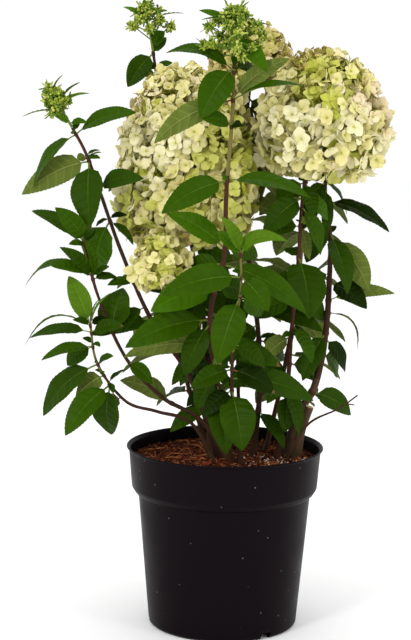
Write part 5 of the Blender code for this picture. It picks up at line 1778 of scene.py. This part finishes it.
def rib_surfaces(leaves, settings, draws):
    """The leaf stalks, some of them red, each running on under its blade as the midrib and
    getting thinner."""
    root, reach, half, bow, normal, across = leaf_arrays(leaves)
    share = RIB_STATIONS[None, :, None]
    middle = root[:, None] + reach[:, None] * share + bow[:, None] * 4.0 * share * (1.0 - share)
    scale = np.clip(2.0 * half / FULL_WIDTH_LEAF, 0.5, 1.0)[:, None]
    along = np.clip((RIB_STATIONS - BLADE_START) / (1.0 - BLADE_START), 0.0, 1.0)
    radii = settings.petiole * scale * (1.0 - RIB_TAPER[0] * along**RIB_TAPER[1])
    under = (along > 0.0) * (0.55 * radii + MIDRIB_DEPTH)
    paths = middle - normal[:, None] * under[..., None]
    red = draws.random((len(leaves), 1)) < RED_STALKS
    bare = RIB_STATIONS[None, 1:] < BLADE_START + 0.05
    slots = np.where(bare, np.where(red, STALK_SLOT, GREEN_STALK_SLOT), RIB_SLOT)
    return tubes(paths, radii, normal, RIB_SIDES, slots)


def floret_line(head, share):
    """The (radius, height) line on which a head's florets sit, through its known widths, from
    under it to its top."""
    if head.name not in HEAD_OUTLINES:
        return head_profile(head, share * FLORET_REACH)
    outline = HEAD_OUTLINES[head.name]
    high = np.linspace(outline[0][0], 1.0, HEAD_STEPS)
    wide = np.interp(high, *zip(*outline))
    line = np.vstack([(HEAD_UNDERSIDE[0], high[0]), np.column_stack([wide, high])])
    line[:, 0] *= head.radius * MM * share * FLORET_REACH
    line[:, 1] = (0.5 * (1.0 - share) + line[:, 1] * share) * head.height * MM
    return line


def floret_growth(head, height):
    """The size of florets by their height in the head, as a share: smaller near its top."""
    return np.interp(height / (head.height * MM), *zip(*FLORET_GROWTH))


def head_sites(head, spacing, share):
    """Places over a flower head and the ways they look: a golden angle apart on equal areas of
    the turned line, each counted in florets of their size there, and dented by noise."""
    line = floret_line(head, share)
    run = np.diff(line, axis=0)
    length = np.linalg.norm(run, axis=1)
    middle = 0.5 * (line[1:] + line[:-1])
    count = 2.0 * math.pi * middle[:, 0] * length / floret_growth(head, middle[:, 1]) ** 2
    area = np.concatenate([[0.0], np.cumsum(count)])
    number = np.arange(int(area[-1] / spacing**2))
    wanted = (number + 0.5) / len(number) * area[-1]
    radius = np.interp(wanted, area, line[:, 0])[:, None]
    height = np.interp(wanted, area, line[:, 1])[:, None]
    slope = (run / length[:, None])[np.minimum(np.searchsorted(area, wanted), len(run)) - 1]
    angle = number * GOLDEN_ANGLE
    flat = bearings(angle)
    outward = unit(flat * slope[:, 1:] - UP * slope[:, :1])
    places = in_head(head, flat * radius + UP * height)
    dent = 0.5 + 0.5 * lattice_noise(places, HEAD_LUMPS, len(head.name))
    return places - outward * (HEAD_DENT * head.radius * MM * dent)[:, None], outward


def far_from_leaves(places, space):
    """Which places lie clear of every leaf and stem, near which there is no room for a floret."""
    clear = np.ones(len(places), bool)
    for low, high, tree, owner in space.placed:
        if owner.startswith(("flower_head", "potting_mix", "pot")):
            continue
        inside = ((places > low - FLORET_CLEARANCE) & (places < high + FLORET_CLEARANCE)).all(axis=1)
        for number in np.flatnonzero(inside & clear):
            if tree.find_nearest(Vector(places[number]), FLORET_CLEARANCE)[0] is not None:
                clear[number] = False
    return clear


def floret_slots(head, places, draws, inner):
    """A colour for each floret: the strongest of the head's colours there. The main colour is the
    same everywhere, and each other one fades from its own place as a bell curve does. The inner
    layer also gets a yellow-green everywhere, partly its own colour and partly painted shade."""
    local = places - np.array(head.foot) * MM
    across = local[:, 0] / (head.radius * MM)
    upward = local[:, 2] / (head.height * MM)
    main, zones = HEAD_COLOURS[head.name]
    slots = [FLORET_COLOURS.index(main)]
    scores = [np.full(len(places), MAIN_SCORE)]
    for tone, right, high, reach, strength in zones:
        near = ((across - right) ** 2 + (2.0 * (upward - high)) ** 2) / reach**2
        slots.append(FLORET_COLOURS.index(tone))
        scores.append(strength * np.exp(-near))
    # Inner florets: yellow-green, partly their own colour and partly painted shade
    if inner:
        slots.append(FLORET_COLOURS.index("moss"))
        scores.append(np.full(len(places), INNER_MOSS))
    scores = np.array(scores) + draws.normal(0.0, SCORE_SPREAD, (len(scores), len(places)))
    return np.array(slots)[scores.argmax(axis=0)]


def floret_surfaces(places, ways, sizes, slots, rows, columns, thickness, draws):
    """Florets of four sepals. A sepal's half width follows half a sine wave along it, its end
    is rounded off, its edges rise in a dish and its tip curls back."""
    count = len(places)
    first, second = frames_along(ways, draws)
    turn = 0.5 * math.pi * np.arange(SEPALS) + draws.normal(0.0, SEPAL_TURN, (count, SEPALS))
    out = first[:, None] * np.cos(turn)[..., None] + second[:, None] * np.sin(turn)[..., None]
    cup = draws.uniform(*FLORET_CUP, (count, 1)) + draws.normal(0.0, SEPAL_CUP, (count, SEPALS))
    cup = cup[..., None]
    axis = out * np.cos(cup) + ways[:, None] * np.sin(cup)
    normal = ways[:, None] * np.cos(cup) - out * np.sin(cup)
    across = np.cross(axis, normal)
    pairs = np.where(np.arange(SEPALS) % 2 == 0, 1.0, SHORT_PAIR)
    length = sizes[:, None] * pairs * draws.uniform(*SEPAL_LENGTHS, (count, SEPALS))
    length = length[:, :, None, None]
    row = rows[:, None]
    column = columns[None, :]
    along = row - SEPAL_ROUNDING * row**3 * column**2
    half = SEPAL_HALF * np.sin(math.pi * (SEPAL_WAVE[0] + SEPAL_WAVE[1] * row)) * column
    rise = SEPAL_DISH * column**2 * np.sin(math.pi * np.minimum(row, 0.8)) - SEPAL_CURL * row**2.2
    middle = (places[:, None, None, None]
              + axis[:, :, None, None] * (length * along)[..., None]
              + across[:, :, None, None] * (length * half)[..., None]
              + normal[:, :, None, None] * (length * rise)[..., None])
    chart = np.stack(np.broadcast_arrays(row, 0.5 + 0.5 * column), axis=-1)
    grid = middle.reshape(-1, *middle.shape[2:])
    tones = np.repeat(slots, SEPALS)
    return sheets(grid, normal.reshape(-1, 3), thickness, chart, tones, tones)


def head_surface(head, settings, draws):
    """A flower head: an outer and an inner layer of florets, the outer ones each with a small eye,
    on thin stalks that lean in to the middle."""
    _, space = full_plant()
    scale = HEAD_FLORETS.get(head.name, 1.0)
    foot = np.array(head.foot) * MM
    parts = []
    for share, spread, rows, columns in (
        (1.0, 1.0, SEPAL_ROWS, SEPAL_COLUMNS),
        (INNER_SHARE, INNER_SPACING, INNER_ROWS, INNER_COLUMNS),
    ):
        places, outward = head_sites(head, settings.spacing * scale * spread, share)
        clear = far_from_leaves(places, space)
        places, outward = places[clear], outward[clear]
        count = len(places)
        ways = unit(outward + draws.normal(0.0, FLORET_LEAN, places.shape))
        places = places - outward * draws.uniform(*FLORET_DEPTHS, (count, 1)) * scale
        inner = share < 1.0
        slots = floret_slots(head, places, draws, inner)
        small = np.where(slots == SMALL_SLOT, SMALL_SHARE, 1.0)
        small = small * floret_growth(head, places[:, 2] - foot[2])
        sizes = settings.sepal * scale * small * draws.uniform(*FLORET_SIZES, count)
        parts.append(floret_surfaces(places, ways, sizes, slots, rows, columns,
                                     settings.thickness, draws))
        hearts = np.full(count, HEART_SLOT)
        if not inner:
            eye = EYE_RADIUS * scale
            turns = np.tile(np.eye(3), (count, 1, 1))
            parts.append(blobs(places + ways * eye, np.full((count, 3), eye), turns, hearts, 1, 5))
        inward = places + (foot - places) * (1.0 - UP) * STALK_REACH
        inward -= UP * STALK_DROP * head.height * MM
        low = foot[2] + STALK_LOWEST * head.height * MM
        inward[:, 2] = np.maximum(inward[:, 2], np.minimum(low, places[:, 2]))
        paths = np.stack([places, 0.5 * (places + inward) + outward * STALK_BOW, inward], axis=1)
        radii = np.tile(STALK_RADII, (count, 1)) * scale
        parts.append(tubes(paths, radii, np.cross(outward, UP) + 1e-4, 3, hearts))
    return joined(parts)


def low_clusters(panicle, draws):
    """The further bud clusters that spread round the foot of a panicle."""
    clusters = []
    for number in range(LOW_BUDS.get(panicle.name, 0)):
        height = draws.uniform(*LOW_BUD_HEIGHTS)
        spread = panicle.spread * MM * draws.uniform(*LOW_BUD_SPREAD)
        twig = side_twig(panicle, number, height, spread, LOW_BUD_RISE * spread)
        clusters.append((*twig, BUD_RADIUS))
    return clusters


def bud_surface(panicle, settings, draws):
    """A bud panicle: beads round the end of each side twig, evenly over a ball a golden angle
    apart, each bead on its own stalk, with thin pointed bracts among them."""
    parts = []
    number = np.arange(BEADS)
    high = 1.0 - (2.0 * number + 1.0) / BEADS
    ball = bearings(number * GOLDEN_ANGLE) * np.sqrt(1.0 - high**2)[:, None] + UP * high[:, None]
    few = slice(None, None, BEADS_PER_BRACT)
    for root, end, radius in bud_clusters(panicle) + low_clusters(panicle, draws):
        ways = ball @ random_turns(draws, 1)[0].T
        halves = settings.bud * draws.uniform(*BEAD_SIZES, (BEADS, 1)) * BEAD_STRETCH
        centres = end + ways * (radius * draws.uniform(*BEAD_REACH, BEADS))[:, None]
        slots = draws.choice(len(BEAD_SHARES), BEADS, p=BEAD_SHARES)
        first, second = frames_along(ways, draws)
        turns = np.stack([first, second, ways], axis=-1)
        parts.append(blobs(centres, halves, turns, slots, 3, 6))
        places = centres[few] + ways[few] * BRACT_HALF[2]
        halves = np.tile(BRACT_HALF, (len(places), 1))
        parts.append(blobs(places, halves, turns[few], slots[few], 3, 4))
        paths = np.stack([np.broadcast_to(end, ways.shape), centres], axis=1)
        parts.append(tubes(paths, np.full((BEADS, 2), BEAD_STALK), first, 3,
                           np.full(BEADS, DARK_BUD_SLOT)))
        twig = np.stack([root, 0.5 * (root + end), end])[None]
        across = square_axes(unit(end - root))[0][None]
        parts.append(tubes(twig, np.array([BUD_TWIG_RADII]), across, 5,
                           np.full(1, DARK_BUD_SLOT)))
    return joined(parts)


def fork_surface(settings):
    """The short prong near the end of the bare twig."""
    curve = ground_curve(TWIG_ROUTE)
    fork = at_distance(curve, FORK_START * distances(curve)[-1])
    end = fork + np.array(FORK_REACH) * MM
    radius = TWIG_RADIUS[1] * MM
    curve = bent(fork, 0.5 * (fork + end), end, STALK_STEPS)
    return even_stem(curve, radius, FORK_TAPER * radius, settings, BROWN, FORK_SEED)


def stub_surface(settings):
    """The sawn stub of an old cane, its top a flat end of pale wood."""
    low, high = np.array(STUB_RADIUS) * MM
    curve = ground_curve(STUB_ROUTE, FINE_SPAN_STEPS)
    stub = even_stem(curve, low, high, settings, GREY, STUB_SEED)
    stub.slots[-settings.sides:] = WOOD
    return stub


def leaf_materials(settings):
    """The materials of the leaves, in the order of their numbers."""
    made = [
        blade_material("waxy_leaf_" + tone, getattr(settings, tone), 0.38, 0.08)
        for tone in LEAF_COLOURS[:UNDERSIDE_SLOT]
    ]
    made.append(blade_material("matt_leaf_underside", settings.underside, 0.62, 0.20))
    for tone in LEAF_COLOURS[RIB_SLOT:]:
        made.append(bark_material("leaf_" + tone, getattr(settings, tone), 0.55, BARK_GRAIN, 0.12))
    return made


def build_floor(settings):
    """A wide flat disc of matt white board under the pot."""
    rim = bearings(even_turns(FLOOR_SIDES)) * FLOOR_RADIUS
    mesh = from_lists("studio_floor", rim.tolist(), [list(range(FLOOR_SIDES))])
    board, tree, shader = new_material("matt_white_board", 0.9)
    skin, _ = mottled_colour(tree, tinted(settings.floor, 0.985), tinted(settings.floor, 1.0), 0.05)
    tree.links.new(skin, shader.inputs["Base Color"])
    mesh.materials.append(board)
    linked("studio_floor", mesh)


def build_camera():
    """The camera at the photograph's angle: pitched down and rolled a little, with a lens whose
    focal length is given in pixels."""
    data = bpy.data.cameras.new("camera")
    data.sensor_fit = "VERTICAL"
    data.sensor_height = SENSOR_HEIGHT
    data.sensor_width = SENSOR_HEIGHT
    data.lens = SENSOR_HEIGHT * FOCAL_PIXELS / IMAGE_HEIGHT
    pitched = Matrix.Rotation(math.radians(90.0 - CAMERA_PITCH), 4, "X")
    rolled = Matrix.Rotation(-math.radians(CAMERA_ROLL), 4, "Z")
    camera = linked("camera", data)
    camera.matrix_world = Matrix.Translation(CAMERA_PLACE) @ pitched @ rolled
    return camera


class BuildPot(bpy.types.Operator):
    """Turns the pot, cuts its drain openings and gives it its plastic"""

    bl_idname = "hydrangea.build_pot"
    bl_label = "Pot"

    def execute(self, context):
        settings = context.scene.hydrangea_pot
        plastic = plastic_material("black_polypropylene", settings.plastic, settings.dust)
        shell = lathe(shell_line(settings), settings.sides)
        pot = make_piece("pot_shell", shell, [plastic], ["pot"])
        cut_away(pot, drain_cutters())
        return {"FINISHED"}


class BuildMix(bpy.types.Operator):
    """Fills the pot with bark and coir, with crumbs, fibres and white grains on top"""

    bl_idname = "hydrangea.build_mix"
    bl_label = "Potting mix"

    def execute(self, context):
        settings = context.scene.hydrangea_pot
        draws = np.random.default_rng(SEED)
        filling, *crumbs = [
            grain_material(name, getattr(settings, dark), getattr(settings, light), dull, grain)
            for name, dark, light, dull, grain in MIX_FINISHES
        ]
        make_piece("mix_filling", mix_body(settings), [filling], ["potting_mix"])
        make_piece("mix_crumbs", mix_crumbs(settings, draws), crumbs, ["potting_mix"],
                   60.0)
        return {"FINISHED"}


class BuildStems(bpy.types.Operator):
    """Grows the canes, stems, stalks, stub and bare twig with the relief of their bark"""

    bl_idname = "hydrangea.build_stems"
    bl_label = "Stems"

    def execute(self, context):
        settings = context.scene.hydrangea_stems
        parts = [shoot_surface(shoot, settings, 10 * number) for number, shoot in enumerate(SHOOTS)]
        for number, head in enumerate(HEADS):
            path, _, radius = head_stalk(head)
            curve = bent(*path, STALK_STEPS)
            parts.append(even_stem(curve, radius, STALK_TAPER * radius, settings, OLIVE,
                                   HEAD_SEED + number))
        for number, panicle in enumerate(PANICLES):
            _, _, radius = shoot_end(panicle.carrier)
            curve = bent(*panicle_path(panicle), STALK_STEPS)
            parts.append(even_stem(curve, radius, PANICLE_STEM_TAPER * radius, settings, GREEN,
                                   PANICLE_SEED + number))
        low, high = np.array(TWIG_RADIUS) * MM
        twig = ground_curve(TWIG_ROUTE, FINE_SPAN_STEPS)
        parts.append(even_stem(twig, low, high, settings, BROWN, TWIG_SEED))
        parts += [fork_surface(settings), stub_surface(settings)]
        materials = [
            bark_material(name, getattr(settings, tone), roughness, BARK_GRAIN, contrast)
            for name, tone, roughness, contrast in STEM_FINISHES
        ]
        nodes = ["cane_" + shoot.name for shoot in SHOOTS] + ["sawn_stub", "bare_twig"]
        make_piece("stems", joined(parts), materials, nodes)
        return {"FINISHED"}


class BuildLeaves(bpy.types.Operator):
    """Spreads the leaf blades and their stalks where the rule found room for them"""

    bl_idname = "hydrangea.build_leaves"
    bl_label = "Leaves"

    def execute(self, context):
        settings = context.scene.hydrangea_leaves
        draws = np.random.default_rng(SEED + 1)
        leaves, _ = full_plant()
        materials = leaf_materials(settings)
        for name, owners in LEAF_GROUPS.items():
            group = [leaf for leaf in leaves if leaf.owner in owners]
            surface = joined([blade_surfaces(group, settings, draws),
                              rib_surfaces(group, settings, draws)])
            nodes = [owner if "panicle" in owner else "shoot_" + owner for owner in owners]
            make_piece(name, surface, materials, nodes, 50.0)
        return {"FINISHED"}


class BuildHeads(bpy.types.Operator):
    """Fills the flower heads with florets of four sepals"""

    bl_idname = "hydrangea.build_heads"
    bl_label = "Flower heads"

    def execute(self, context):
        settings = context.scene.hydrangea_flowers
        draws = np.random.default_rng(SEED + 2)
        heart = settings.heart
        materials = [
            sepal_material("papery_sepal_" + tone, getattr(settings, tone), heart)
            for tone in FLORET_COLOURS
        ]
        for head, slot in zip(HEADS, HEAD_SLOTS):
            name = head.name.replace("flower_head", "florets")
            make_piece(name, head_surface(head, settings, draws), materials, [head.name], 60.0)
        return {"FINISHED"}


class BuildBuds(bpy.types.Operator):
    """Packs the green bud panicles with beads on side twigs"""

    bl_idname = "hydrangea.build_buds"
    bl_label = "Bud panicles"

    def execute(self, context):
        settings = context.scene.hydrangea_flowers
        draws = np.random.default_rng(SEED + 3)
        materials = [
            bark_material(name, getattr(settings, tone), 0.55, BUD_GRAIN, 0.15)
            for name, tone in (("light_green_bud", "bud_light"), ("dark_green_bud", "bud_dark"),
                               ("pale_lime_bud", "bud_pale"))
        ]
        surface = joined([bud_surface(panicle, settings, draws) for panicle in PANICLES])
        make_piece("bud_clusters", surface, materials, [panicle.name for panicle in PANICLES],
                   60.0)
        return {"FINISHED"}


class BuildStudio(bpy.types.Operator):
    """Lays the pale floor and sets the soft lights and the camera"""

    bl_idname = "hydrangea.build_studio"
    bl_label = "Studio"

    def execute(self, context):
        settings = context.scene.hydrangea_studio
        scene = context.scene
        build_floor(settings)
        world = bpy.data.worlds.new("white_surroundings")
        world.use_nodes = True
        tree = world.node_tree
        tree.nodes.clear()
        light = add_node(tree, "ShaderNodeBackground", {0: (1.0, 1.0, 1.0, 1.0), 1: settings.sky})
        add_node(tree, "ShaderNodeOutputWorld", {0: light[0]})
        scene.world = world
        for name, power, place, sides in LIGHTS:
            data = bpy.data.lights.new(name, "AREA")
            data.shape = "RECTANGLE"
            data.size, data.size_y = sides
            data.energy = getattr(settings, power)
            lamp = linked(name, data)
            lamp.location = place
            lamp.rotation_mode = "QUATERNION"
            lamp.rotation_quaternion = (Vector(LIGHT_AIM) - Vector(place)).to_track_quat("-Z", "Y")
        scene.camera = build_camera()
        scene.view_settings.view_transform = "Standard"
        return {"FINISHED"}


class HydrangeaPanel(bpy.types.Panel):
    """Lists the pieces in the order in which they are built"""

    bl_idname = "VIEW3D_PT_hydrangea"
    bl_label = "Potted Hydrangea"
    bl_space_type = "VIEW_3D"
    bl_region_type = "UI"
    bl_category = "Hydrangea"

    def draw(self, context):
        for operator in OPERATORS:
            self.layout.operator(operator.bl_idname)
        for name, group in SETTINGS.items():
            box = self.layout.box()
            box.label(text=group.__name__)
            for field in group.__annotations__:
                box.prop(getattr(context.scene, name), field)


OPERATORS = (BuildPot, BuildMix, BuildStems, BuildLeaves, BuildHeads, BuildBuds, BuildStudio)


def register():
    """Registers the settings, operators and panel."""
    for name, group in SETTINGS.items():
        bpy.utils.register_class(group)
        setattr(bpy.types.Scene, name, PointerProperty(type=group))
    for operator in OPERATORS:
        bpy.utils.register_class(operator)
    bpy.utils.register_class(HydrangeaPanel)


def unregister():
    """Takes away what register added."""
    bpy.utils.unregister_class(HydrangeaPanel)
    for operator in reversed(OPERATORS):
        bpy.utils.unregister_class(operator)
    for name, group in SETTINGS.items():
        delattr(bpy.types.Scene, name)
        bpy.utils.unregister_class(group)


def main():
    register()
    for operator in OPERATORS:
        group, call = operator.bl_idname.split(".")
        getattr(getattr(bpy.ops, group), call)()
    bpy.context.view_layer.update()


if __name__ == "__main__":
    main()
